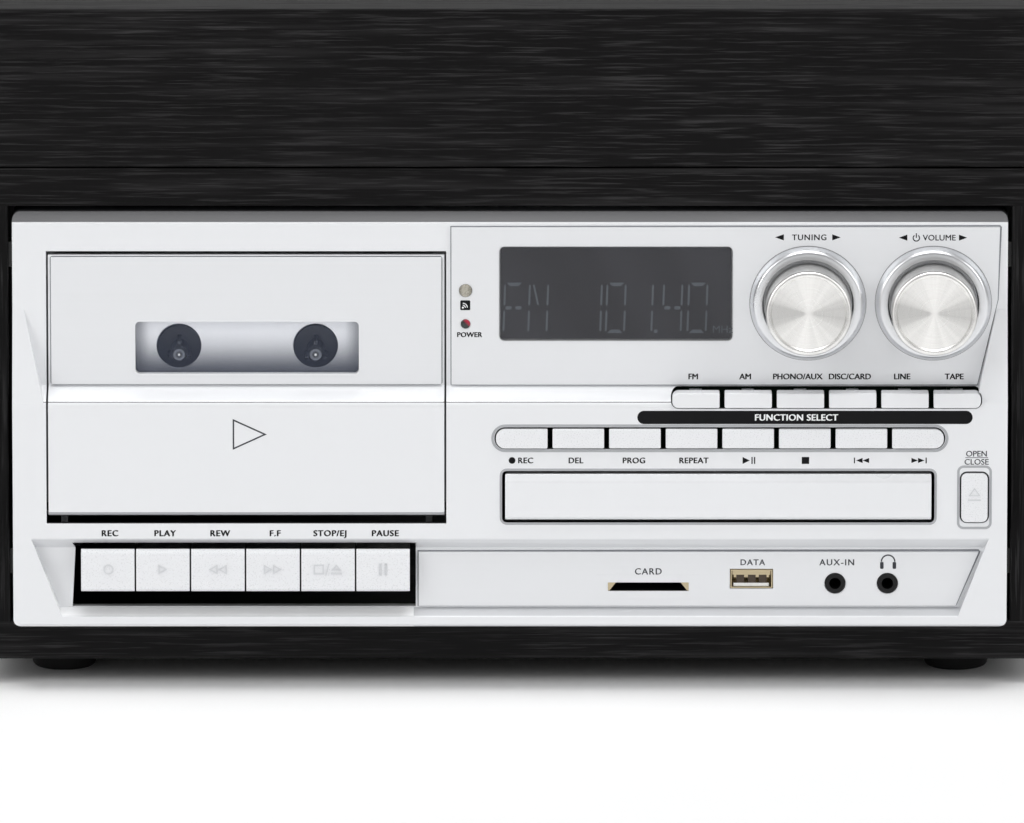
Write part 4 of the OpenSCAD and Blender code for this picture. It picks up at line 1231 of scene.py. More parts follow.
@dataclass
class FrontMoulding(SubAssembly):
    """The silver moulding with its two brushed plates.

    Args:
        rim: Width of the chamfer round the button slots, and of its painted shade, in millimetres.
        slot_gap: Clearance between a button and its slot, in millimetres.
        row_flange: Height of the transport buttons' hidden flanges, in millimetres.
        gap_line: Width of the painted shadow line round a plate, in millimetres.
        crease: Smallest angle in radians of a hard edge of the moulding.
        key_raise: How far the key opening's top goes up its slope, in millimetres.
        key_sink: How far its foot goes down, in millimetres.
        key_left: How far its left end goes left, in millimetres.
        slot_reach: How far round its buttons a slot's edges are looked for, in millimetres.
    """

    rim: float = 0.75
    slot_gap: float = 0.5
    row_flange: float = 0.9
    gap_line: float = 0.3
    crease: float = 0.6
    key_raise: float = 0.5
    key_sink: float = 0.55
    key_left: float = 1.0
    slot_reach: float = 2.2

    def build(self) -> None:
        """Makes the moulding, the plates, the painted shadow lines round them and the painted shade
        of the slots' rims.
        """
        self.skin()
        self.plate("upper_fascia_plate", "brushed_plate", 0.0002)
        self.plate("socket_plate", "brushed_plate", 0.00025)
        self.rim_shades()
        LOG.info("front moulding and plates")

    def rim_shades(self) -> None:
        """Painted shade on the chamfered rims round the slots of the lower face."""
        # Grey bands painted as the shade of the slots' chamfers.
        rim_shades = Stencil(self.panel, self.panel.span("front_panel")[0].y, 0.06)
        row_low, row_high = self.panel.span(
            "transport_button_1"
        )[0], self.panel.span("transport_button_8")[1]
        ease = self.row_flange - 0.4 - self.rim
        half = (row_high.z - row_low.z) / 2 - ease
        out = self.slot_gap + self.rim + 0.2
        low, high = (row_low.x - out, row_low.z + ease), (row_high.x + out, row_high.z - ease)
        rim_shades.frame(rounded(low, high, half - 0.01, 12), self.rim)
        for node, radius, extra in (("disc_tray_front", 2.2, 0.45), ("tray_button", 2.0, 0.05)):
            low, high = self.panel.span(node)
            out = self.slot_gap + self.rim + extra
            rim_shades.frame(
                rounded((low.x - out, low.z - out), (high.x + out, high.z + out), radius), self.rim
            )
        self.lay(rim_shades, "slot_chamfer_shades", "rim_silver")

    def skin(self) -> None:
        """The moulding with chamfered slots and eased edges."""
        mesh = clean_copy("front_panel")
        self.open_keys(mesh)
        zones = self.slot_zones()
        hard = hard_edges(mesh, self.crease)
        slots = [e for e in hard if self.rims_slot(e, zones)]
        chosen = set(slots)
        others = [e for e in hard if e not in chosen]
        bevel(mesh, others, 0.0003, 2, clamp=True)
        slots = [e for e in slots if e.is_valid]
        bevel(mesh, slots, 0.0005, 2, 0.5, clamp=True)
        piece = keep(mesh, "front_panel_skin", 28.0)
        self.shop.fit(piece, "cabinet", "silver_moulding", ("front_panel",))

    def open_keys(self, mesh: bmesh.types.BMesh) -> None:
        """Widens the tape keys' opening up its slope, down to the recess's foot and to the left."""
        row_low, row_high = self.panel.span("tape_key_1")[0], self.panel.span("tape_key_6")[1]
        near = [v for v in mesh.verts if row_low.x - 4.5 < v.co.x / MM < row_high.x + 2.5]
        for vert in near:
            z = (vert.co.z - self.panel.foot) / MM
            if abs(z - row_high.z - 0.5) < 0.1:
                on_slope = (vert.co.y - self.panel.front) / MM < -8.2
                vert.co.z += self.key_raise * MM
                vert.co.y -= 0.54 * MM if on_slope else 0.0
            elif 6.2 < z < 7.2:
                vert.co.z -= self.key_sink * MM
            else:
                continue
            if vert.co.x / MM < row_low.x:
                vert.co.x -= self.key_left * MM

    def slot_zones(self) -> list[tuple[Vector, Vector]]:
        """Boxes round the button rows, the tray button and the tray, in the panel's millimetres."""
        groups = [
            [f"transport_button_{i}" for i in range(1, 9)],
            ["tray_button"],
            ["disc_tray_front"],
        ]
        zones = []
        for names in groups:
            boxes = [self.panel.span(name) for name in names]
            low = Vector([min(b[0][k] for b in boxes) for k in range(3)])
            high = Vector([max(b[1][k] for b in boxes) for k in range(3)])
            reach = Vector((self.slot_reach, 0, self.slot_reach))
            zones.append((low - reach, high + reach))
        return zones

    def rims_slot(self, edge: bmesh.types.BMEdge, zones: list[tuple[Vector, Vector]]) -> bool:
        """Says whether an edge runs round a slot on the lower face."""
        face = box_of("front_panel")[0].y
        for vert in edge.verts:
            if abs(vert.co.y - face) > 0.00003:
                return False
            x = vert.co.x / MM
            z = (vert.co.z - self.panel.foot) / MM
            if not any(low.x < x < high.x and low.z < z < high.z for low, high in zones):
                return False
        return True

    def plate(self, node: str, finish: str, width: float) -> None:
        """One plate with eased edges and the painted shadow line round it on the moulding.

        Args:
            node: Name of the plate's node.
            finish: Name of its finish.
            width: Width of the eased edge in metres.
        """
        self.shop.soften(node, "cabinet", finish, width)
        level = self.panel.span(node)[1].y
        # Painted shadow: a dark line round the plate.
        seam = Stencil(self.panel, level, 0.04)
        outer = inset(front_outline(self.panel, node), -self.gap_line)
        seam.frame(outer, self.gap_line + 0.2)
        self.lay(seam, f"{node}_seam", "seam")


@dataclass
class CassetteDeck(SubAssembly):
    """Door with its plate, window, holder and the spindles behind it.

    Args:
        stroke: Width of the outlined triangle on the door, in millimetres.
    """

    stroke: float = 0.45

    def build(self) -> None:
        """Makes the deck from the door backwards."""
        for node, finish, width, segments in (
            ("cassette_door", "silver_moulding", 0.0004, 3),
            ("cassette_door_plate", "brushed_plate", 0.0002, 2),
            ("cassette_window", "clear_window", 0.0003, 2),
            ("cassette_holder", "black_plastic", 0.0003, 2),
        ):
            self.shop.soften(node, "cassette_door", finish, width, segments)
        self.seam()
        self.emblem()
        self.window_frame()
        self.liner()
        self.mechanism()
        LOG.info("cassette deck")

    def seam(self) -> None:
        """The painted shadow line round the door's plate."""
        level = self.panel.span("cassette_door_plate")[1].y
        # Painted shadow: a dark line round the plate.
        seam = Stencil(self.panel, level, 0.04)
        low, high = self.panel.span("cassette_door_plate")
        seam.frame(rounded((low.x - 0.3, low.z - 0.3), (high.x + 0.3, high.z + 0.3), 0.8, 3), 0.5)
        self.lay(seam, "door_plate_shadow_line", "seam", "cassette_door")

    def emblem(self) -> None:
        """The outlined triangle on the door's lower face."""
        low, high = self.panel.span("cassette_door")
        middle = (low.x + high.x) / 2
        mark = Stencil(self.panel, low.y, 0.05)
        points = arrow_points(middle + 1.1, low.z + 26.2, 10.6, 9.8)
        mark.frame(points, self.stroke)
        self.lay(mark, "door_triangle", "grey_ink", "cassette_door")

    def window_frame(self) -> None:
        """A bright moulded lip round the window's opening."""
        low, high = self.panel.span("cassette_window")
        level = self.panel.span("cassette_door_plate")[0].y
        lip = Stencil(self.panel, level, 0.12)
        lip.frame(rounded((low.x - 0.55, low.z - 0.55), (high.x + 0.55, high.z + 0.55), 1.9), 0.5)
        self.lay(lip, "window_lip", "silver_moulding", "cassette_door")

    def liner(self) -> None:
        """The sheet behind the pane with painted light and shade, open round the spindles, and
        their bright tips.
        """
        low, high = self.panel.span("cassette_window")
        # A sheet with painted light at its top and painted shade at its foot and ends.
        sheet = Stencil(self.panel, high.y + 0.2, 0.15)
        sheet.loop(rounded((low.x, low.z), (high.x, high.z), 1.4))
        for side in ("left", "right"):
            body = f"reel_spindle_{side}"
            x, z = self.panel.middle(body)
            sheet.loop(circle(x, (low.z + high.z) / 2 + 0.1, 7.0, 48))
            tip = self.panel.span(body)[0].y
            ring = Stencil(self.panel, tip, 0.05).frame(circle(x, z, 1.8), 0.7)
            self.lay(ring, f"hub_ring_{side}", "hub_tip", body)
            point = Stencil(self.panel, tip, 0.08).loop(circle(x, z, 0.38, 16))
            self.lay(point, f"hub_point_{side}", "phono_white", body)
        self.lay(sheet, "window_light_and_shade_sheet", "well_liner", "cassette_door")

    def mechanism(self) -> None:
        """The spindles, the chassis and the heads."""
        for side in ("left", "right"):
            body = f"reel_spindle_{side}"
            self.shop.soften(body, body, "spindle_plastic", 0.0002)
        for node in ("tape_head_block", "tape_chassis"):
            self.shop.soften(node, "cabinet", "plated_steel", 0.0002)


@dataclass
class TapeKeys(SubAssembly):
    """Six piano keys with raised signs.

    Args:
        sign_z: Height of the signs' middle.
        height: Height of a sign.
        stroke: Width of its outline.
        relief: How far it stands out.
    """

    sign_z: float = 18.8
    height: float = 3.2
    stroke: float = 0.42
    relief: float = 0.22

    def build(self) -> None:
        """Makes the keys and their signs."""
        signs = (self.record, self.play, self.rewind, self.forward, self.stop, self.pause)
        for i, sign in enumerate(signs, 1):
            body = f"tape_key_{i}"
            self.key(body)
            x, _ = self.panel.middle(body)
            # The raised signs are painted grey as shade.
            mark = Stencil(self.panel, self.panel.span(body)[0].y, self.relief)
            sign(mark, x)
            self.lay(mark, f"key_sign_{i}", "key_relief", body)
        LOG.info("tape keys")

    def key(self, node: str) -> None:
        """One key, its face a little lower at the top, as it rests."""
        mesh = eased(node, 0.0004, 3)
        low, high = self.panel.span(node)
        for vert in mesh.verts:
            z = (vert.co.z - self.panel.foot) / MM
            if z > high.z - 1.0 and (vert.co.y - self.panel.front) / MM < low.y + 6.0:
                vert.co.z -= 0.6 * MM
        self.shop.fit(keep(mesh, f"{node}_skin"), node, "silver_button", (node,))

    def record(self, mark: Stencil, x: float) -> None:
        """A ring."""
        mark.frame(circle(x + 0.2, self.sign_z, self.height / 2), self.stroke)

    def play(self, mark: Stencil, x: float) -> None:
        """A triangle to the right."""
        mark.frame(arrow_points(x, self.sign_z, 2.8, self.height), self.stroke)

    def rewind(self, mark: Stencil, x: float, width: float = -2.8) -> None:
        """Two triangles to the left, or to the right with a width above 0."""
        for shift in (-1.5, 1.4):
            mark.frame(arrow_points(x + shift, self.sign_z, width, self.height), self.stroke)

    def forward(self, mark: Stencil, x: float) -> None:
        """Two triangles to the right."""
        self.rewind(mark, x, 2.8)

    def stop(self, mark: Stencil, x: float) -> None:
        """A square, a stroke and the eject sign."""
        z, half = self.sign_z, self.height / 2
        left, right = x - 4.5, x - 1.3
        square = [(left, z - half), (right, z - half), (right, z + half), (left, z + half)]
        mark.frame(square, self.stroke)
        foot, head = z - half - 0.3, z + half + 0.3
        mark.loop([(x - 0.9, foot), (x - 0.5, foot), (x + 0.5, head), (x + 0.1, head)])
        mark.frame([(x + 0.9, z - 0.35), (x + 4.3, z - 0.35), (x + 2.6, z + half)], self.stroke)
        mark.bar(x + 0.9, z - half, x + 4.3, z - half + 0.55)

    def pause(self, mark: Stencil, x: float) -> None:
        """Two bars."""
        for shift in (-0.85, 0.85):
            low, high = (x + shift - 0.4, self.sign_z - 1.9), (x + shift + 0.4, self.sign_z + 1.9)
            mark.frame([low, (high[0], low[1]), high, (low[0], high[1])], 0.22)


@dataclass
class Buttons(SubAssembly):
    """The function row, the transport row, the tray button and the tray's front."""

    def build(self) -> None:
        """Makes the buttons and the tray."""
        names = [f"function_button_{i}" for i in range(1, 7)]
        names += [f"transport_button_{i}" for i in range(1, 9)]
        for name in names:
            finish = "silver_tray" if name.startswith("function") else "silver_button"
            self.shop.soften(name, name, finish, 0.00035, 3)
        self.shop.soften("tray_button", "tray_button", "silver_button", 0.0006, 3)
        self.shop.soften("disc_tray_front", "disc_tray", "silver_tray", 0.0004, 3)
        self.shop.soften("disc_tray", "disc_tray", "black_plastic", 0.0003)
        self.eject_sign()
        LOG.info("buttons and disc tray")

    def eject_sign(self) -> None:
        """The raised eject sign on the tray button."""
        x, z = self.panel.middle("tray_button")
        # The raised sign is painted grey as shade.
        sign = Stencil(self.panel, self.panel.span("tray_button")[0].y, 0.15)
        sign.frame([(x - 1.9, z + 0.6), (x + 1.9, z + 0.6), (x, z + 3.2)], 0.3)
        sign.bar(x - 2.0, z - 0.9, x + 2.0, z - 0.45)
        self.lay(sign, "tray_button_sign", "key_relief", "tray_button")


@dataclass
class Knobs(SubAssembly):
    """Two spun knobs in their chrome rings.

    Args:
        bore: Radius of the bore for the shaft, in millimetres.
        depth: Depth of the bore.
        dish: How far the face is sunk.
        roll: Radius of the rolled rim.
    """

    bore: float = 3.05
    depth: float = 12.0
    dish: float = 0.55
    roll: float = 1.15

    def build(self) -> None:
        """Makes both knobs and the rings."""
        for name in ("tuning_knob", "volume_knob"):
            self.knob(name)
        self.rings()
        self.seats()
        LOG.info("knobs and rings")

    def seats(self) -> None:
        """Painted shade: black rings in the gaps behind the knobs and a fine shadow line round each
        ring.
        """
        low, high = self.panel.span("knob_rings")
        outer = (high.z - low.z) / 2
        # Black rings painted as the shade in the gaps round the knobs, and a painted shadow line
        # round each ring.
        felt = Stencil(self.panel, high.y, 0.25)
        ring_shadow_line = Stencil(self.panel, high.y, 0.04)
        for name in ("tuning_knob", "volume_knob"):
            x, z = self.panel.middle(name)
            felt.frame(circle(x, z, outer - 3.35, 96), 0.8)
            ring_shadow_line.frame(circle(x, z, outer + 0.22, 96), 0.4)
        self.lay(felt, "knob_gap_shades", "felt")
        self.lay(ring_shadow_line, "knob_ring_shadow_lines", "screw_steel")

    def stand(self, piece: bpy.types.Object, x: float, y: float, z: float) -> bpy.types.Object:
        """Turns a lathe form to face forward at a place on the front."""
        piece.matrix_world = Matrix.Translation(self.panel.at(x, y, z)) @ FORWARD
        return piece

    def knob(self, node: str) -> None:
        """One knob with a rolled rim, a dished face and the bore at its back."""
        low, high = self.panel.span(node)
        x, z = self.panel.middle(node)
        radius, height = (high.x - low.x) / 2, high.y - low.y
        bore, depth, roll, sunk = self.bore, self.depth, self.roll, height - self.dish
        rim = [
            (radius - roll + roll * math.sin(t), height - roll + roll * math.cos(t))
            for t in QUARTER[::-1]
        ]
        face = [(radius - 1.6, height - 0.1), (radius - 2.0, sunk)]
        face += [((radius - 2.0) * share, sunk) for share in (0.75, 0.5, 0.25, 0.08)]
        profile = [(0.0, depth), (bore, depth), (bore, 0.0), (radius - 0.5, 0.0)]
        profile += [(radius, 0.5), (radius, height - 2.5)] + rim + face + [(0.0, sunk)]
        piece = self.stand(keep(turned(profile, 128), f"{node}_turned", 24.0), x, high.y, z)
        self.shop.fit(piece, node, "spun_aluminium", (node,))

    def rings(self) -> None:
        """Both chrome rings, broad and rolled outside, with a sharp inner lip."""
        low, high = self.panel.span("knob_rings")
        knob_low, knob_high = self.panel.span("volume_knob")
        outer = (high.z - low.z) / 2
        inner = (knob_high.x - knob_low.x) / 2 + 0.65
        height = high.y - low.y
        rise = [
            (outer - 1.9 * t, height * math.sin(math.pi / 2 * t) ** 0.8)
            for t in (0.12, 0.25, 0.4, 0.55, 0.7, 0.85, 1.0)
        ]
        section = [(inner, 0.0), (outer, 0.0), (outer, 0.35)] + rise
        section += [
            (inner + 0.55, height), (inner + 0.2, height - 0.1), (inner, height - 0.4), (inner, 0.0)
        ]
        whole = bmesh.new()
        for name in ("tuning_knob", "volume_knob"):
            x, z = self.panel.middle(name)
            ring = turned(section, 128)
            join(whole, ring, Matrix.Translation(self.panel.at(x, high.y, z)) @ FORWARD)
        bmesh.ops.remove_doubles(whole, verts=whole.verts, dist=TOUCH)
        self.shop.fit(
            keep(whole, "knob_ring_pair", 40.0), "cabinet", "chrome_ring", ("knob_rings",)
        )


@dataclass
class Display(SubAssembly):
    """Smoked lens with the liquid crystal behind it, the remote window and the power lamp.

    Args:
        digit_w: Width of a digit.
        digit_h: Height of a digit.
        lean: Share of the height by which the digits slant.
    """

    digit_w: float = 6.5
    digit_h: float = 16.0
    lean: float = 0.035

    def build(self) -> None:
        """Makes the display and the two small lenses."""
        self.shop.soften("display_lens", "cabinet", "smoked_lens", 0.0003)
        self.glass()
        self.readout()
        self.remote_window()
        self.power_lamp()
        self.remote_sign()
        LOG.info("display and lamps")

    def glass(self) -> None:
        """The dark liquid-crystal glass just behind the lens."""
        low, high = self.panel.span("display_lens")
        sheet = Stencil(self.panel, high.y - 0.05, 0.2)
        sheet.loop(rounded((low.x + 0.35, low.z + 0.35), (high.x - 0.35, high.z - 0.35), 0.8))
        self.lay(sheet, "crystal_glass", "crystal_glass")

    def readout(self) -> None:
        """A band and a frequency in slanted segments."""
        low, high = self.panel.span("display_lens")
        base = low.z + 2.2
        marks = Stencil(self.panel, high.y - 0.4, 0.06)
        start = low.x + 0.75
        for text, left in (
            ("F", 0.0), ("M", 7.7), ("1", 24.4), ("0", 31.8), ("1", 40.3), ("4", 49.4), ("0", 57.2)
        ):
            self.digit(marks, text, start + left, base)
        marks.bar(start + 47.2, base, start + 48.3, base + 1.1)
        marks.write("MHz", high.x - 3.0, base + 1.2, 2.3)
        self.lay(marks, "crystal_segments", "crystal_segment")

    def digit(self, marks: Stencil, text: str, x: float, z: float) -> None:
        """One character in segments.

        Args:
            marks: Stencil that takes the segments.
            text: The character.
            x: Its left side.
            z: Its foot.
        """
        w, h, s, half = self.digit_w, self.digit_h, 0.62, self.digit_h / 2

        def upright(left: float, low: float, high: float) -> list[Point]:
            """Outline of an upright segment with pointed ends."""
            middle, right = left + s / 2, left + s
            ends = [(left, low + 0.3), (middle, low), (right, low + 0.3)]
            return ends + [(right, high - 0.6), (middle, high), (left, high - 0.6)]

        shapes = {
            "top": [(0.9, h), (1.9, h - 1.1), (w - 1.9, h - 1.1), (w - 0.9, h)],
            "foot": [(1.9, 1.1), (0.9, 0.0), (w - 0.9, 0.0), (w - 1.9, 1.1)],
            "left_high": upright(0.1, half + 0.7, h - 0.5),
            "left_low": upright(0.1, 0.5, half - 0.7),
            "right_high": upright(w - 0.1 - s, half + 0.7, h - 0.5),
            "right_low": upright(w - 0.1 - s, 0.5, half - 0.7),
            "middle_left": rounded((0.7, half - 0.55), (2.7, half + 0.55), 0.5, 3),
            "middle_right": rounded((w - 2.7, half - 0.55), (w - 0.7, half + 0.55), 0.5, 3),
            "slope_left": [
                (1.3, h - 0.7), (w / 2 - 0.35, half + 0.9), (w / 2 + 0.25, half + 0.9),
                (1.9, h - 0.7),
            ],
            "slope_right": [
                (w - 1.9, h - 0.7), (w / 2 - 0.25, half + 0.9), (w / 2 + 0.35, half + 0.9),
                (w - 1.3, h - 0.7),
            ],
        }
        sides = ("left_high", "left_low", "right_high", "right_low")
        lit = {
            "0": sides + ("top", "foot"),
            "1": ("right_high", "right_low"),
            "4": ("left_high", "right_high", "right_low", "middle_left", "middle_right"),
            "F": ("top", "left_high", "left_low", "middle_left", "middle_right"),
            "M": sides + ("slope_left",),
        }
        for name in lit[text]:
            marks.loop([(x + px + self.lean * pz, z + pz) for px, pz in shapes[name]])

    def lens(
        self, name: str, x: float, z: float, radius: float, finish: str, stands_for: tuple[str, ...]
    ) -> None:
        """One small round lens with a domed face.

        Args:
            name: Name of the piece.
            x: Place across.
            z: Place up.
            radius: Its radius.
            finish: Name of its finish.
            stands_for: Nodes that it replaces.
        """
        low, high = self.panel.span("indicator_lenses")
        height = high.y - low.y
        dome = [(radius * math.cos(t), height - 0.35 + 0.35 * math.sin(t)) for t in QUARTER]
        profile = [(0.0, 0.0), (radius, 0.0)] + dome
        piece = keep(turned(profile[:-1] + [(0.0, height)], 48), name, 40.0)
        piece.matrix_world = Matrix.Translation(self.panel.at(x, high.y, z)) @ FORWARD
        self.shop.fit(piece, "cabinet", finish, stands_for)

    def remote_window(self) -> None:
        """The receiver's window for a remote control."""
        low, high = self.panel.span("indicator_lenses")
        self.lens(
            "remote_window", (low.x + high.x) / 2, high.z - 1.95, 1.95, "receiver_lens",
            ("indicator_lenses",),
        )

    def power_lamp(self) -> None:
        """The power lamp."""
        low, high = self.panel.span("indicator_lenses")
        self.lens("power_lamp", (low.x + high.x) / 2, low.z + 1.4, 1.4, "lamp_lens", ())

    def remote_sign(self) -> None:
        """A dark square under the window with a plain light sign of spreading waves."""
        low, high = self.panel.span("indicator_lenses")
        x, z = (low.x + high.x) / 2 - 0.1, high.z - 6.6
        level = self.panel.span("upper_fascia_plate")[0].y
        square = Stencil(self.panel, level, 0.05)
        square.loop(rounded((x - 1.55, z - 1.55), (x + 1.55, z + 1.55), 0.35))
        self.lay(square, "remote_sign_ground")
        sign = Stencil(self.panel, level - 0.05, 0.04)
        sign.loop(circle(x - 0.75, z - 0.75, 0.32, 12))
        for radius in (0.9, 1.55):
            sign.loop(bow(x - 0.75, z - 0.75, radius, 0.28, QUARTER))
        self.lay(sign, "remote_sign", "white_ink")


@dataclass
class Lettering(SubAssembly):
    """Plain printed words and signs on the front.

    Args:
        cap: Height of the capitals in millimetres.
    """

    cap: float = 1.75

    def build(self) -> None:
        """Prints every group."""
        self.tuning()
        self.volume()
        self.functions()
        self.function_bar()
        self.transport()
        self.tray()
        self.tape()
        self.sockets()
        self.power()
        LOG.info("lettering")

    def plate(self) -> Stencil:
        """A stencil on the upper plate."""
        return Stencil(self.panel, self.panel.span("upper_fascia_plate")[0].y)

    def lower(self) -> Stencil:
        """A stencil on the bulged lower face."""
        return Stencil(self.panel, self.panel.span("front_panel")[0].y)

    def tuning(self) -> None:
        """Word and arrows over the tuning knob."""
        x, z = self.panel.middle("tuning_knob")
        up = z + 20.9
        words = self.plate().write("TUNING", x + 0.4, up, self.cap, 0.05, 1.14)
        words.arrow(x - 8.9, up, -2.7, 1.9).arrow(x + 8.8, up, 2.6, 1.9)
        self.lay(words, "tuning_words")

    def volume(self) -> None:
        """Word, arrows and the power sign over the volume knob."""
        x, z = self.panel.middle("volume_knob")
        up = z + 20.8
        words = self.plate().write("VOLUME", x + 1.75, up, self.cap, 0.04, 1.03)
        words.arrow(x - 9.5, up, -2.6, 1.9).arrow(x + 9.1, up, 2.5, 1.9)
        self.power_sign(words, x - 5.4, up - 0.1, 1.15)
        self.lay(words, "volume_words")

    def power_sign(self, words: Stencil, x: float, z: float, radius: float) -> None:
        """A ring open at its top, with an upright bar in the opening."""
        gap = math.radians(35)
        turns = [math.pi / 2 + gap + i * (2 * math.pi - 2 * gap) / 24 for i in range(25)]
        words.loop(bow(x, z, radius, 0.32, turns))
        words.bar(x - 0.16, z + 0.05, x + 0.16, z + radius + 0.35)

    def functions(self) -> None:
        """One word over each function button."""
        _, high = self.panel.span("function_button_1")
        words = self.plate()
        for i, text in enumerate(("FM", "AM", "PHONO/AUX", "DISC/CARD", "LINE", "TAPE"), 1):
            x, _ = self.panel.middle(f"function_button_{i}")
            words.write(text, x - 0.8, high.z + 3.6, self.cap, 0.09, 1.0)
        self.lay(words, "function_words")

    def function_bar(self) -> None:
        """The dark bar under the function row and the words on it."""
        low, _ = self.panel.span("function_button_1")
        first, last = self.panel.middle(
            "function_button_1"
        )[0], self.panel.middle("function_button_6")[0]
        z = low.z - 2.0
        bar = self.lower()
        bar.loop(rounded((first - 18.2, z - 2.1), (last + 4.8, z + 2.1), 2.08, 10))
        self.lay(bar, "function_bar")
        words = Stencil(self.panel, self.panel.span("front_panel")[0].y - 0.05)
        words.write("FUNCTION SELECT", (first + last) / 2 - 9.4, z, 1.95, 0.11, 1.06)
        self.lay(words, "function_bar_words", "white_ink")

    def transport(self) -> None:
        """One word or sign under each transport button."""
        low, _ = self.panel.span("transport_button_1")
        z = low.z - 2.9
        centres = [self.panel.middle(f"transport_button_{i}")[0] + 0.3 for i in range(1, 9)]
        words = self.lower()
        words.loop(circle(centres[0] - 3.3, z, 1.05, 24)).write(
            "REC", centres[0] + 0.9, z, self.cap, 0.09, 1.08
        )
        for x, text in zip(
            (centres[1] - 1.1, centres[2] - 0.6, centres[3] + 0.4), ("DEL", "PROG", "REPEAT")
        ):
            words.write(text, x, z, self.cap, 0.09, 1.08)
        half = 1.1
        words.arrow(centres[4] - 0.9, z, 2.2, 2 * half)
        for shift in (0.75, 1.55):
            words.bar(centres[4] + shift, z - half, centres[4] + shift + 0.36, z + half)
        words.bar(centres[5] - half - 0.1, z - half, centres[5] + half, z + half)
        words.bar(centres[6] - 2.6, z - 0.9, centres[6] - 2.25, z + 0.9)
        words.arrow(centres[6] - 0.9, z, -2.0, 1.6).arrow(centres[6] + 1.15, z, -2.0, 1.6)
        words.arrow(centres[7] - 1.3, z, 2.0, 1.6).arrow(centres[7] + 0.75, z, 2.0, 1.6)
        words.bar(centres[7] + 2.1, z - 0.9, centres[7] + 2.45, z + 0.9)
        self.lay(words, "transport_words")

    def tray(self) -> None:
        """Two words with a line between them over the tray button."""
        x, _ = self.panel.middle("tray_button")
        _, high = self.panel.span("tray_button")
        words = self.lower().write("OPEN", x + 0.6, high.z + 5.05, self.cap, 0.04)
        words.bar(x - 2.9, high.z + 3.7, x + 4.2, high.z + 3.87)
        words.write("CLOSE", x + 0.6, high.z + 2.45, self.cap, 0.04)
        self.lay(words, "tray_words", "grey_ink")

    def tape(self) -> None:
        """One word over each tape key."""
        words = self.lower()
        for i, text in enumerate(("REC", "PLAY", "REW", "F.F", "STOP/EJ", "PAUSE"), 1):
            x, _ = self.panel.middle(f"tape_key_{i}")
            _, high = self.panel.span(f"tape_key_{i}")
            words.write(text, x + 0.65, high.z + 4.4, 1.85, 0.12, 1.14)
        self.lay(words, "tape_words")

    def sockets(self) -> None:
        """Words over the sockets and the headphone sign."""
        level = self.panel.span("socket_plate")[0].y
        words = Stencil(self.panel, level)
        card_low, card_high = self.panel.span("card_reader")
        usb_low, usb_high = self.panel.span("usb_socket")
        jack_low, jack_high = self.panel.span("jack_sockets")
        words.write("CARD", (card_low.x + card_high.x) / 2, 17.1, 1.95, 0.06, 1.17)
        words.write("DATA", (usb_low.x + usb_high.x) / 2 + 0.3, 20.0, 1.8, 0.06, 1.17)
        words.write("AUX-IN", jack_low.x + 5.6, 20.0, 1.9, 0.06, 1.2)
        self.headphones(words, jack_high.x - 4.8, 20.4)
        self.lay(words, "socket_words", "grey_ink")

    def headphones(self, words: Stencil, x: float, z: float) -> None:
        """The usual sign for headphones: a bow and two cushions."""
        radius, stroke = 2.3, 0.42
        turns = [math.pi * i / 16 for i in range(17)]
        words.loop(bow(x, z - 0.2, radius, stroke, turns))
        for side in (-1, 1):
            middle = x + side * (radius - 0.35)
            words.loop(rounded((middle - 0.55, z - 2.5), (middle + 0.55, z - 0.3), 0.35, 4))

    def power(self) -> None:
        """The word beside the power lamp."""
        low, high = self.panel.span("indicator_lenses")
        words = self.plate().write(
            "POWER", (low.x + high.x) / 2 + 1.2, low.z - 2.0, 1.5, 0.09, 1.04
        )
        self.lay(words, "power_word")


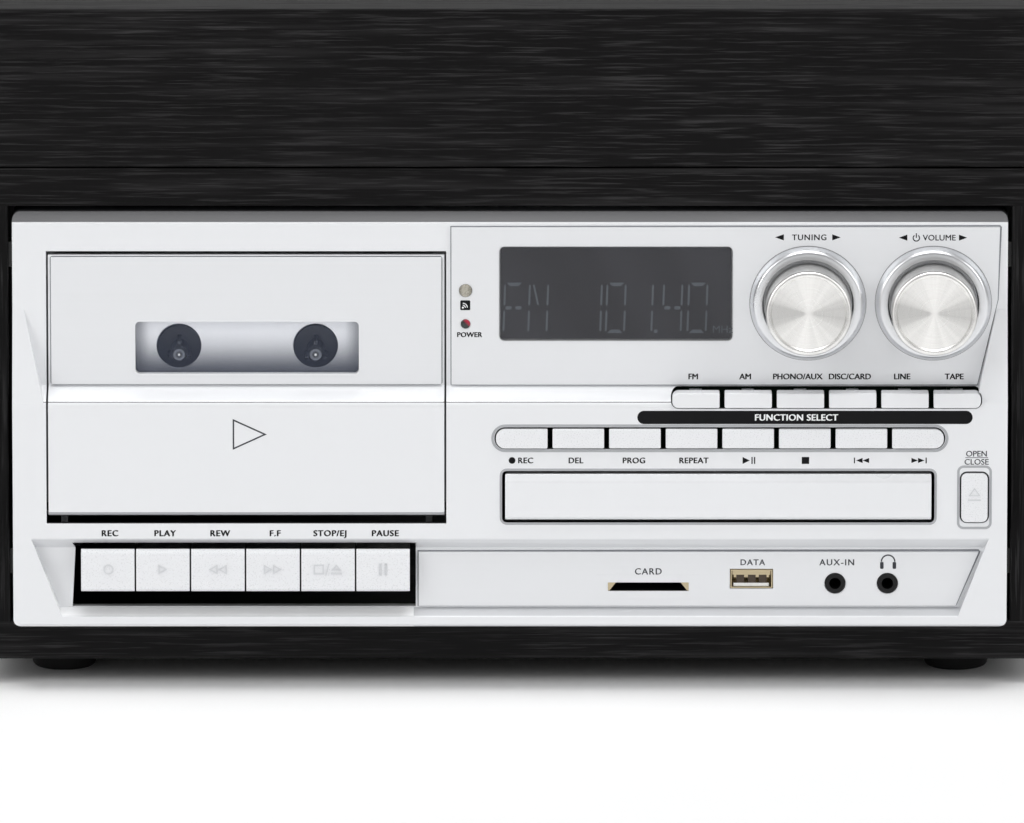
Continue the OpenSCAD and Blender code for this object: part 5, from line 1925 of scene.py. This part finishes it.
@dataclass
class Sockets(SubAssembly):
    """Card slot, USB socket and the two jack sockets.

    Args:
        slot_z: Height of the card slot's middle.
    """

    slot_z: float = 12.2

    def build(self) -> None:
        """Makes the sockets."""
        self.card_slot()
        self.shop.soften("usb_socket", "cabinet", "socket_plating", 0.00012)
        self.shop.soften("jack_sockets", "cabinet", "black_plastic", 0.0003, 3)
        self.contacts()
        LOG.info("sockets")

    def card_slot(self) -> None:
        """The card reader flush with the plate, and the plate's narrow slot before it."""
        face = self.panel.span("socket_plate")[0].y
        level = self.panel.at(0.0, face, 0.0).y
        mesh = eased("card_reader", 0.00015)
        for vert in mesh.verts:
            vert.co.y = max(vert.co.y, level)
        # Its finish paints its inside dark as shade.
        self.shop.fit(keep(mesh, "card_reader_skin"), "cabinet", "card_plastic", ("card_reader",))
        low, high = self.panel.span("card_reader")
        x, z = (low.x + high.x) / 2, self.slot_z
        cover = Stencil(self.panel, face, 0.06)
        cover.loop(rounded((low.x - 0.4, low.z - 0.4), (high.x + 0.4, high.z + 0.4), 0.6))
        cover.loop(rounded((x - 13.1, z - 1.45), (x + 13.1, z + 1.45), 0.2, 2))
        self.lay(cover, "card_slot_cover", "brushed_plate")

    def contacts(self) -> None:
        """The gilt corners in the card slot's mouth and what shows inside the USB socket."""
        x, z = self.panel.middle("card_reader")[0], self.slot_z
        face = self.panel.span("socket_plate")[0].y
        usb_x, usb_z = self.panel.middle("usb_socket")
        gilt = Stencil(self.panel, face + 0.7, 0.3)
        for side in (-1, 1):
            corner = [(x + side * 13.0, z - 1.3), (x + side * 12.1, z - 1.3)]
            corner += [(x + side * 10.0, z + 1.4), (x + side * 13.0, z + 1.4)]
            gilt.loop(corner)
        gilt.bar(usb_x - 5.9, usb_z + 1.2, usb_x + 5.9, usb_z + 2.5)
        self.lay(gilt, "socket_gilt", "socket_plating")
        dark = Stencil(self.panel, face + 1.0, 0.3)
        for shift in (-3.4, 0.2, 3.6):
            dark.bar(usb_x + shift - 1.3, usb_z - 1.4, usb_x + shift + 1.1, usb_z + 1.4)
        self.lay(dark, "usb_springs", "usb_dark")
        tongue = Stencil(self.panel, face + 0.8, 0.3)
        tongue.bar(usb_x - 5.6, usb_z - 2.45, usb_x + 5.4, usb_z - 1.45)
        self.lay(tongue, "usb_tongue", "usb_white")


@dataclass
class Cabinet(SubAssembly):
    """Wood-grained box with its lid, rear board, feet and hinges."""

    def build(self) -> None:
        """Makes the box and what is screwed to it."""
        for node, body, finish, width, segments in (
            ("cabinet_carcass", "cabinet", "black_woodgrain", 0.0006, 3),
            ("lid", "lid", "black_woodgrain", 0.0009, 3),
            ("rear_panel", "cabinet", "hardboard", 0.0002, 2),
            ("feet", "cabinet", "black_rubber", 0.0004, 3),
            ("hinge_fixed_leaves", "cabinet", "socket_plating", 0.0002, 2),
            ("hinge_lid_leaves", "lid", "socket_plating", 0.0002, 2),
        ):
            self.shop.soften(node, body, finish, width, segments)
        self.board_screws()
        self.hinge_screws()
        LOG.info("cabinet")

    def screw(self, radius: float) -> bmesh.types.BMesh:
        """A domed screw head with a crossed recess, facing local +Z."""
        head = turned(
            [
                (0.0, 0.0), (radius, 0.0), (radius, 0.2), (radius * 0.8, 0.55),
                (radius * 0.45, 0.8), (0.0, 0.88),
            ],
            24,
        )
        cross = bmesh.new()
        for turn in (0.0, math.pi / 2):
            size = Matrix.Diagonal((radius * 1.1 * MM, 0.32 * MM, 0.5 * MM, 1.0))
            place = Matrix.Translation((0, 0, 0.72 * MM)) @ Matrix.Rotation(turn, 4, "Z") @ size
            bmesh.ops.create_cube(cross, size=1.0, matrix=place)
        join(head, cross)
        return head

    def screws(
        self, name: str, body: str, spots: Iterable[tuple[float, float]], level: float,
        radius: float,
    ) -> None:
        """Screws on a face that looks backward.

        Args:
            name: Name of the piece.
            body: Body that holds them.
            spots: X and Z of each, in row-frame metres.
            level: Row-frame Y of the face.
            radius: Radius of a head in millimetres.
        """
        whole = bmesh.new()
        for x, z in spots:
            place = Matrix.Translation((x, level - 0.00005, z)) @ BACKWARD
            join(whole, self.screw(radius), place)
        self.shop.fit(keep(whole, name, 40.0), body, "screw_steel")

    def board_screws(self) -> None:
        """Eight screws round the rear board."""
        low, high = box_of("rear_panel")
        xs = [low.x + 0.008, (low.x * 2 + high.x) / 3, (low.x + high.x * 2) / 3, high.x - 0.008]
        spots = [(x, z) for x in xs for z in (low.z + 0.006, high.z - 0.006)]
        self.screws("rear_board_screws", "cabinet", spots, high.y, 2.6)

    def hinge_screws(self) -> None:
        """Two screws in each hinge leaf."""
        high, low = box_of("hinge_lid_leaves")[1], box_of("hinge_fixed_leaves")[0]
        leaf = self.leaf_face()
        xs = [side * (high.x - 0.020 + shift) for side in (-1, 1) for shift in (-0.012, 0.012)]
        for name, body, z in (
            ("hinge_lid_screws", "lid", high.z - 0.006),
            ("hinge_cabinet_screws", "cabinet", low.z + 0.006),
        ):
            self.screws(name, body, [(x, z) for x in xs], leaf, 2.0)

    def leaf_face(self) -> float:
        """Row-frame Y of the hinge leaves' outer face."""
        top = box_of("hinge_lid_leaves")[1].z - 0.0005
        leaves = frame["nodes"]["hinge_lid_leaves"].data
        return max(v.co.y for v in leaves.vertices if v.co.z > top)


@dataclass
class Turntable(SubAssembly):
    """Deck with platter, ribbed mat, tonearm and speed switch.

    Args:
        tube: Radius of the arm's tube in millimetres.
        weight: Radius of the counterweight in millimetres.
        mark_size: Size of the printed speeds in metres.
    """

    tube: float = 3.5
    weight: float = 11.0
    mark_size: float = 0.0058

    def build(self) -> None:
        """Makes the turntable."""
        self.shop.soften("turntable_deck", "cabinet", "deck_plastic", 0.0005, 3)
        self.platter()
        self.mat()
        self.shop.soften("tonearm_gimbal", "tonearm_gimbal", "black_plastic", 0.0005, 3)
        self.arm()
        self.shop.soften("speed_switch", "speed_switch", "black_plastic", 0.0003)
        self.speed_marks()
        LOG.info("turntable")

    def stand(self, piece: bpy.types.Object, x: float, y: float, z: float) -> bpy.types.Object:
        """Puts an upright turned form at a place in the row frame."""
        piece.matrix_world = Matrix.Translation((x, y, z))
        return piece

    def platter(self) -> None:
        """Turned platter with a grooved rim, its hub and the record spindle."""
        low, high = box_of("platter")
        mat_low, _ = box_of("platter_mat")
        radius = (high.x - low.x) / 2 / MM
        rim_high = mat_low.z / MM
        rim_low = rim_high - 8.0
        grooves = []
        for i in range(5):
            level = rim_low + 1.4 + i * 1.15
            grooves += [
                (radius, level), (radius - 0.28, level + 0.28), (radius - 0.28, level + 0.5),
                (radius, level + 0.78),
            ]
        profile = [
            (0.0, low.z / MM), (2.9, low.z / MM), (3.4, low.z / MM + 0.6), (3.4, rim_low - 2.6),
            (12.0, rim_low - 2.6),
        ]
        profile += [
            (12.0, rim_low + 3.0), (radius - 5.0, rim_low + 3.0), (radius - 4.0, rim_low),
            (radius - 0.8, rim_low),
        ]
        profile += [(radius, rim_low + 0.8)] + grooves
        profile += [
            (radius, rim_high - 0.8), (radius - 0.25, rim_high - 0.25), (radius - 0.8, rim_high),
        ]
        top = high.z / MM
        profile += [
            (3.6, rim_high), (3.6, top - 2.4), (3.3, top - 1.5), (2.7, top - 0.6),
            (1.6, top - 0.1), (0.0, top),
        ]
        piece = keep(
            turned([p for i, p in enumerate(profile) if i == 0 or p != profile[i - 1]], 160),
            "platter_turned", 30.0,
        )
        self.shop.fit(
            self.stand(piece, (low.x + high.x) / 2, (low.y + high.y) / 2, 0.0), "platter",
            "platter_metal", ("platter",),
        )

    def mat(self) -> None:
        """Rubber mat with fine ribs between a sunk label ring and the edge."""
        low, high = box_of("platter_mat")
        radius, foot, top = (high.x - low.x) / 2 / MM, low.z / MM, high.z / MM
        profile = [(4.6, foot), (radius, foot), (radius, top - 0.6), (radius - 0.6, top)]
        ring = radius - 3.0
        while ring > 52.0:
            wide = 1.1 if round((radius - 3.0 - ring) / 3.0) % 4 else 2.2
            profile += [
                (ring, top), (ring - 0.25, top - 0.8), (ring - wide, top - 0.8),
                (ring - wide - 0.25, top),
            ]
            ring -= 3.0
        profile += [
            (50.5, top), (50.0, top - 0.7), (20.0, top - 0.7), (19.5, top), (5.2, top),
            (4.6, top - 0.5), (4.6, foot),
        ]
        mesh = turned(profile, 160)
        bmesh.ops.remove_doubles(mesh, verts=mesh.verts, dist=TOUCH)
        piece = self.stand(
            keep(mesh, "platter_mat_ribbed", 30.0), (low.x + high.x) / 2, (low.y + high.y) / 2, 0.0
        )
        self.shop.fit(piece, "platter", "black_rubber", ("platter_mat",))

    def arm(self) -> None:
        """Tonearm: tapered tube, counterweight, pivot block, head shell and cartridge."""
        low, high = box_of("tonearm")
        gimbal_low, gimbal_high = box_of("tonearm_gimbal")
        x, pivot = (gimbal_low.x + gimbal_high.x) / 2, (gimbal_low.y + gimbal_high.y) / 2
        z = high.z - self.weight * MM
        back, reach = (pivot - high.y) / MM, (pivot - low.y) / MM
        turned_parts = [(0.0, back), (self.weight - 0.8, back), (self.weight, back + 0.8)]
        for i in range(8):
            step = back + 1.6 + i * 1.3
            turned_parts += [
                (self.weight, step), (self.weight - 0.35, step + 0.3),
                (self.weight - 0.35, step + 0.6), (self.weight, step + 0.9),
            ]
        turned_parts += [
            (self.weight, back + 13.0), (self.weight - 1.2, back + 13.6),
            (self.weight - 1.2, back + 17.4), (self.weight - 2.0, back + 18.0),
        ]
        tube = self.tube
        turned_parts += [
            (tube - 0.4, back + 18.0), (tube - 0.4, -7.2), (tube + 0.9, -7.0), (tube + 0.9, 12.0),
            (tube, 12.6), (tube, 14.0),
        ]
        turned_parts += [
            (tube - 0.2, reach - 60.0), (tube - 0.9, reach - 40.0), (tube - 0.9, reach - 30.0),
            (tube, reach - 29.6), (tube, reach - 22.0), (0.0, reach - 22.0),
        ]
        tube_piece = keep(turned(turned_parts, 64), "tonearm_tube", 32.0)
        tube_piece.matrix_world = Matrix.Translation((x, pivot, z)) @ FORWARD
        self.shop.fit(tube_piece, "tonearm", "platter_metal", ("tonearm",))
        self.pivot_block(x, pivot, z)
        self.head_shell(x, low.y, z)

    def block(
        self, mesh: bmesh.types.BMesh, low: Sequence[float], high: Sequence[float], top: float = 1.0
    ) -> None:
        """Adds a box in metres whose top is narrowed by a share."""
        middle = [(a + b) / 2 for a, b in zip(low, high)]
        size = Matrix.Diagonal((*[b - a for a, b in zip(low, high)], 1.0))
        made = bmesh.ops.create_cube(mesh, size=1.0, matrix=Matrix.Translation(middle) @ size)
        for vert in made["verts"]:
            if vert.co.z > middle[2]:
                vert.co.x = middle[0] + (vert.co.x - middle[0]) * top

    def pivot_block(self, x: float, pivot: float, z: float) -> None:
        """The block between the yoke's ears, with its cross pin."""
        mesh = bmesh.new()
        self.block(
            mesh, (x - 0.0065, pivot - 0.007, z - 0.005), (x + 0.0065, pivot + 0.007, z + 0.005)
        )
        bevel(mesh, list(mesh.edges), 0.001, 3)
        pin = turned(
            [(0.0, -11.0), (1.3, -11.0), (1.5, -10.8), (1.5, 10.8), (1.3, 11.0), (0.0, 11.0)], 24
        )
        join(mesh, pin, Matrix.Translation((x, pivot, z)) @ Matrix.Rotation(math.pi / 2, 4, "Y"))
        self.shop.fit(keep(mesh, "tonearm_pivot", 35.0), "tonearm", "black_plastic")

    def head_shell(self, x: float, front: float, z: float) -> None:
        """Head shell with a finger lift, the cartridge and its stylus."""
        shell = bmesh.new()
        self.block(
            shell, (x - 0.008, front, z - 0.005), (x + 0.008, front + 0.024, z + 0.003), 0.62
        )
        bevel(shell, list(shell.edges), 0.0011, 3)
        lift = bmesh.new()
        rows = []
        for i in range(9):
            share = i / 8
            out, rise = 0.0065 + 0.0065 * share, -0.001 + 0.0016 * share * share
            half = 0.002 - 0.0008 * share
            corners = ((-1, 0), (1, 0), (1, 0.0008), (-1, 0.0008))
            rows.append(
                [
                    lift.verts.new((x + out, front + 0.004 + side * half, z + rise + up))
                    for side, up in corners
                ]
            )
        for a, b in zip(rows, rows[1:]):
            for k in range(4):
                lift.faces.new((a[k], a[(k + 1) % 4], b[(k + 1) % 4], b[k]))
        lift.faces.new(rows[0][::-1])
        lift.faces.new(rows[-1])
        bmesh.ops.recalc_face_normals(lift, faces=lift.faces)
        join(shell, lift)
        self.shop.fit(keep(shell, "head_shell", 35.0), "tonearm", "black_plastic")
        cartridge = bmesh.new()
        self.block(
            cartridge, (x - 0.006, front + 0.002, z - 0.009), (x + 0.006, front + 0.018, z - 0.0049)
        )
        self.block(
            cartridge, (x - 0.0035, front + 0.0025, z - 0.0098),
            (x + 0.0035, front + 0.012, z - 0.0088), 1.5,
        )
        bevel(cartridge, list(cartridge.edges), 0.0004, 2)
        self.shop.fit(keep(cartridge, "cartridge", 35.0), "tonearm", "stylus_red")
        tip = turned(
            [(0.0, 0.0), (0.25, 0.05), (0.45, 0.7), (1.1, 1.5), (1.1, 1.9), (0.0, 1.9)], 24
        )
        tip_piece = keep(tip, "stylus", 30.0)
        tip_piece.matrix_world = Matrix.Translation((x, front + 0.006, z - 0.01065))
        self.shop.fit(tip_piece, "tonearm", "platter_metal")

    def speed_marks(self) -> None:
        """The two speeds printed beside the switch."""
        low, high = box_of("speed_switch")
        deck = self.deck_level()
        for text, y in (("33", low.y + 0.004), ("45", high.y + 0.008)):
            curve = text_curve(text, self.mark_size)
            curve.extrude = 0.00003
            mesh = bmesh.new()
            data = filled(curve)
            mesh.from_mesh(data)
            bpy.data.meshes.remove(data)
            piece = keep(mesh, f"speed_mark_{text}")
            piece.matrix_world = Matrix.Translation((low.x - 0.0065, y - 0.002, deck + 0.00002))
            self.shop.fit(piece, "cabinet", "white_ink")

    def deck_level(self) -> float:
        """Row-frame height of the deck's flat top."""
        edge = box_of("turntable_deck")[0].x + 0.0005
        deck = frame["nodes"]["turntable_deck"].data
        return max(v.co.z for v in deck.vertices if v.co.x < edge)


@dataclass
class Rear(SubAssembly):
    """Sockets of the rear board."""

    def build(self) -> None:
        """Makes the sockets and the coloured rings of the two channels."""
        self.shop.soften("rear_sockets", "cabinet", "black_plastic", 0.0003)
        high = box_of("rear_sockets")[1]
        spots = self.phono_spots()
        rows = sorted({round(z, 4) for _, z in spots})
        for x, z in spots:
            finish = "phono_white" if abs(z - rows[-1]) < 0.001 else "phono_red"
            ring = turned(
                [
                    (2.2, 0.0), (3.9, 0.0), (4.1, 0.3), (4.1, 0.6), (3.8, 0.9), (2.4, 0.9),
                    (2.2, 0.6), (2.2, 0.0),
                ],
                48,
            )
            bmesh.ops.remove_doubles(ring, verts=ring.verts, dist=TOUCH)
            piece = keep(
                ring, f"phono_ring_{round(x * 1000)}_{round(z * 1000)}".replace("-", "m"), 40.0
            )
            piece.matrix_world = Matrix.Translation((x, high.y - 0.0006, z)) @ BACKWARD
            self.shop.fit(piece, "cabinet", finish)
        LOG.info("rear sockets")

    def phono_spots(self) -> list[tuple[float, float]]:
        """Middles of the line sockets, from the construction node's outermost faces."""
        _, high = box_of("rear_sockets")
        ends = [
            v.co for v in frame["nodes"]["rear_sockets"].data.vertices if v.co.y > high.y - 0.0002
        ]
        groups: list[list[Vector]] = []
        for spot in ends:
            for group in groups:
                if abs(group[0].x - spot.x) < 0.009 and abs(group[0].z - spot.z) < 0.009:
                    group.append(spot)
                    break
            else:
                groups.append([spot])
        spots = []
        for group in groups:
            xs, zs = [s.x for s in group], [s.z for s in group]
            spots.append(((min(xs) + max(xs)) / 2, (min(zs) + max(zs)) / 2))
        return spots


# ---- Studio ----


@dataclass
class Studio:
    """Plain pale floor, soft lamps and the camera.

    Args:
        target: Point that the camera and the lamps face.
        distance: From there to the camera, in metres.
        elevation: Camera's height above the horizon, in degrees.
        lens: Its focal length in millimetres.
        floor_size: Width and depth of the floor.
        backdrop: Row-frame Y of the backdrop behind the object.
        backdrop_top: Its height.
        bend: Radius of the bend from the floor to it.
        light: Strength of the even light from all round.
    """

    target: Vector
    distance: float = 5.5
    elevation: float = 12.25
    lens: float = 621.2
    floor_size: float = 12.0
    backdrop: float = 2.6
    backdrop_top: float = 4.0
    bend: float = 0.8
    light: float = 0.36

    def build(self) -> None:
        """Sets up the floor, the lamps, the world and the camera."""
        self.floor()
        self.world()
        self.lamp("overhead_lamp", (0.0, -0.5, 2.6), (1.9, 1.5), 38.0)
        self.lamp("left_lamp", (-2.1, -1.7, 1.3), (1.1, 1.6), 23.0)
        self.lamp("right_lamp", (2.3, -1.5, 1.2), (1.1, 1.6), 17.0)
        self.camera()
        bpy.context.scene.view_settings.view_transform = "Standard"

    def floor(self) -> None:
        """Lays the floor that runs up into the backdrop."""
        bend, start, side = self.bend, self.backdrop - self.bend, self.floor_size / 2
        profile = [(-side, 0.0), (start, 0.0)]
        turns = [i * math.pi / 16 for i in range(1, 9)]
        profile += [(start + bend * math.sin(t), bend - bend * math.cos(t)) for t in turns]
        profile += [(self.backdrop, self.backdrop_top)]
        mesh = bmesh.new()
        rows = [[mesh.verts.new((x, y, z)) for y, z in profile] for x in (-side, side)]
        for i in range(len(profile) - 1):
            mesh.faces.new((rows[0][i], rows[1][i], rows[1][i + 1], rows[0][i + 1]))
        sweep = keep(mesh, "studio_sweep", 60.0)
        shader = Shader("studio_paper")
        tooth = shader.even(shader.place(), 900.0)
        shader.paint(
            base_color=shader.mix(tooth, (0.93, 0.93, 0.93), (0.97, 0.97, 0.97)),
            roughness=0.85,
            specular_ior_level=0.2,
        )
        self.open_back(shader)
        sweep.data.materials.append(shader.material)

    def open_back(self, shader: Shader) -> None:
        """Lets a camera behind the backdrop look through it, so that it hides nothing."""
        behind = shader.node("ShaderNodeNewGeometry", output="Backfacing")
        seen = shader.node("ShaderNodeLightPath", output="Is Camera Ray")
        clear = shader.node("ShaderNodeBsdfTransparent")
        paper = Signal(shader, shader.surface.outputs[0])
        both = shader.node("ShaderNodeMixShader", inputs={0: behind * seen, 1: paper, 2: clear})
        shader.tree.links.new(both.socket, shader.tree.nodes["Material Output"].inputs[0])

    def world(self) -> None:
        """Even light from all round, seen as white."""
        world = bpy.data.worlds.new("studio_air")
        world.use_nodes = True
        bpy.context.scene.world = world
        tree = world.node_tree
        lit, seen = tree.nodes["Background"], tree.nodes.new("ShaderNodeBackground")
        for air, strength in ((lit, self.light), (seen, 1.0)):
            air.inputs["Color"].default_value = (1.0, 1.0, 1.0, 1.0)
            air.inputs["Strength"].default_value = strength
        path = tree.nodes.new("ShaderNodeLightPath")
        blend = tree.nodes.new("ShaderNodeMixShader")
        tree.links.new(path.outputs["Is Camera Ray"], blend.inputs[0])
        tree.links.new(lit.outputs[0], blend.inputs[1])
        tree.links.new(seen.outputs[0], blend.inputs[2])
        tree.links.new(blend.outputs[0], tree.nodes["World Output"].inputs[0])

    def lamp(self, name: str, place: Sequence[float], size: Point, watts: float) -> None:
        """Hangs one soft lamp that faces the object.

        Args:
            name: Name of the lamp.
            place: Where it hangs.
            size: Width and height.
            watts: Power.
        """
        data = bpy.data.lights.new(name, "AREA")
        data.shape = "RECTANGLE"
        data.size, data.size_y = size
        data.energy = watts
        lamp = bpy.data.objects.new(name, data)
        lamp.location = place
        lamp.rotation_euler = (self.target - lamp.location).to_track_quat("-Z", "Y").to_euler()
        bpy.context.scene.collection.objects.link(lamp)

    def camera(self) -> None:
        """Places the camera where the photograph was taken from."""
        data = bpy.data.cameras.new("studio_camera")
        data.lens = self.lens
        data.sensor_width = 36.0
        data.clip_end = 60.0
        camera = bpy.data.objects.new("studio_camera", data)
        up = math.radians(self.elevation)
        camera.location = self.target + Vector((0.0, -math.cos(up), math.sin(up))) * self.distance
        camera.rotation_euler = (self.target - camera.location).to_track_quat("-Z", "Y").to_euler()
        bpy.context.scene.collection.objects.link(camera)
        bpy.context.scene.camera = camera


# ---- Assembly ----


def main() -> None:
    """Builds the music centre's looks piece by piece and sets up the studio."""
    logging.basicConfig(level=logging.INFO, format="%(name)s: %(message)s")
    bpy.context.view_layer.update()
    panel_low, panel_high = box_of("front_panel")
    panel = PanelFrame(box_of("cabinet_carcass")[0].y, panel_low.z)
    Studio(Vector((0.00063, panel_low.y + 0.008, 0.08794))).build()
    crease = box_of("upper_fascia_plate")[0].z
    half = panel_high.x - 0.00122
    slots = {part["node"]: part["material_slot"] for part in frame["record"]["subparts"]}
    recess = box_of("socket_plate")
    shop = Workshop(
        inner_half=panel_high.x,
        floor_top=box_of("rear_panel")[0].z,
        rail_low=box_of("rear_panel")[1].z,
        moulding=(
            panel_low.y, recess[1].y, panel_high.z - 0.0028, recess[1].z + 0.0052, crease - 0.004,
            half,
        ),
        socket_face=recess[0].y,
        slots=frozenset(slots.values()),
    )
    for node, piece in frame["nodes"].items():
        shop.dress(piece, slots[node])
        LOG.info("%s in %s", node, slots[node])
    for kind in (
        FrontMoulding,
        CassetteDeck,
        TapeKeys,
        Buttons,
        Knobs,
        Display,
        Lettering,
        Sockets,
        Cabinet,
        Turntable,
        Rear,
    ):
        kind(shop, panel).build()


if __name__ == "__main__":
    main()
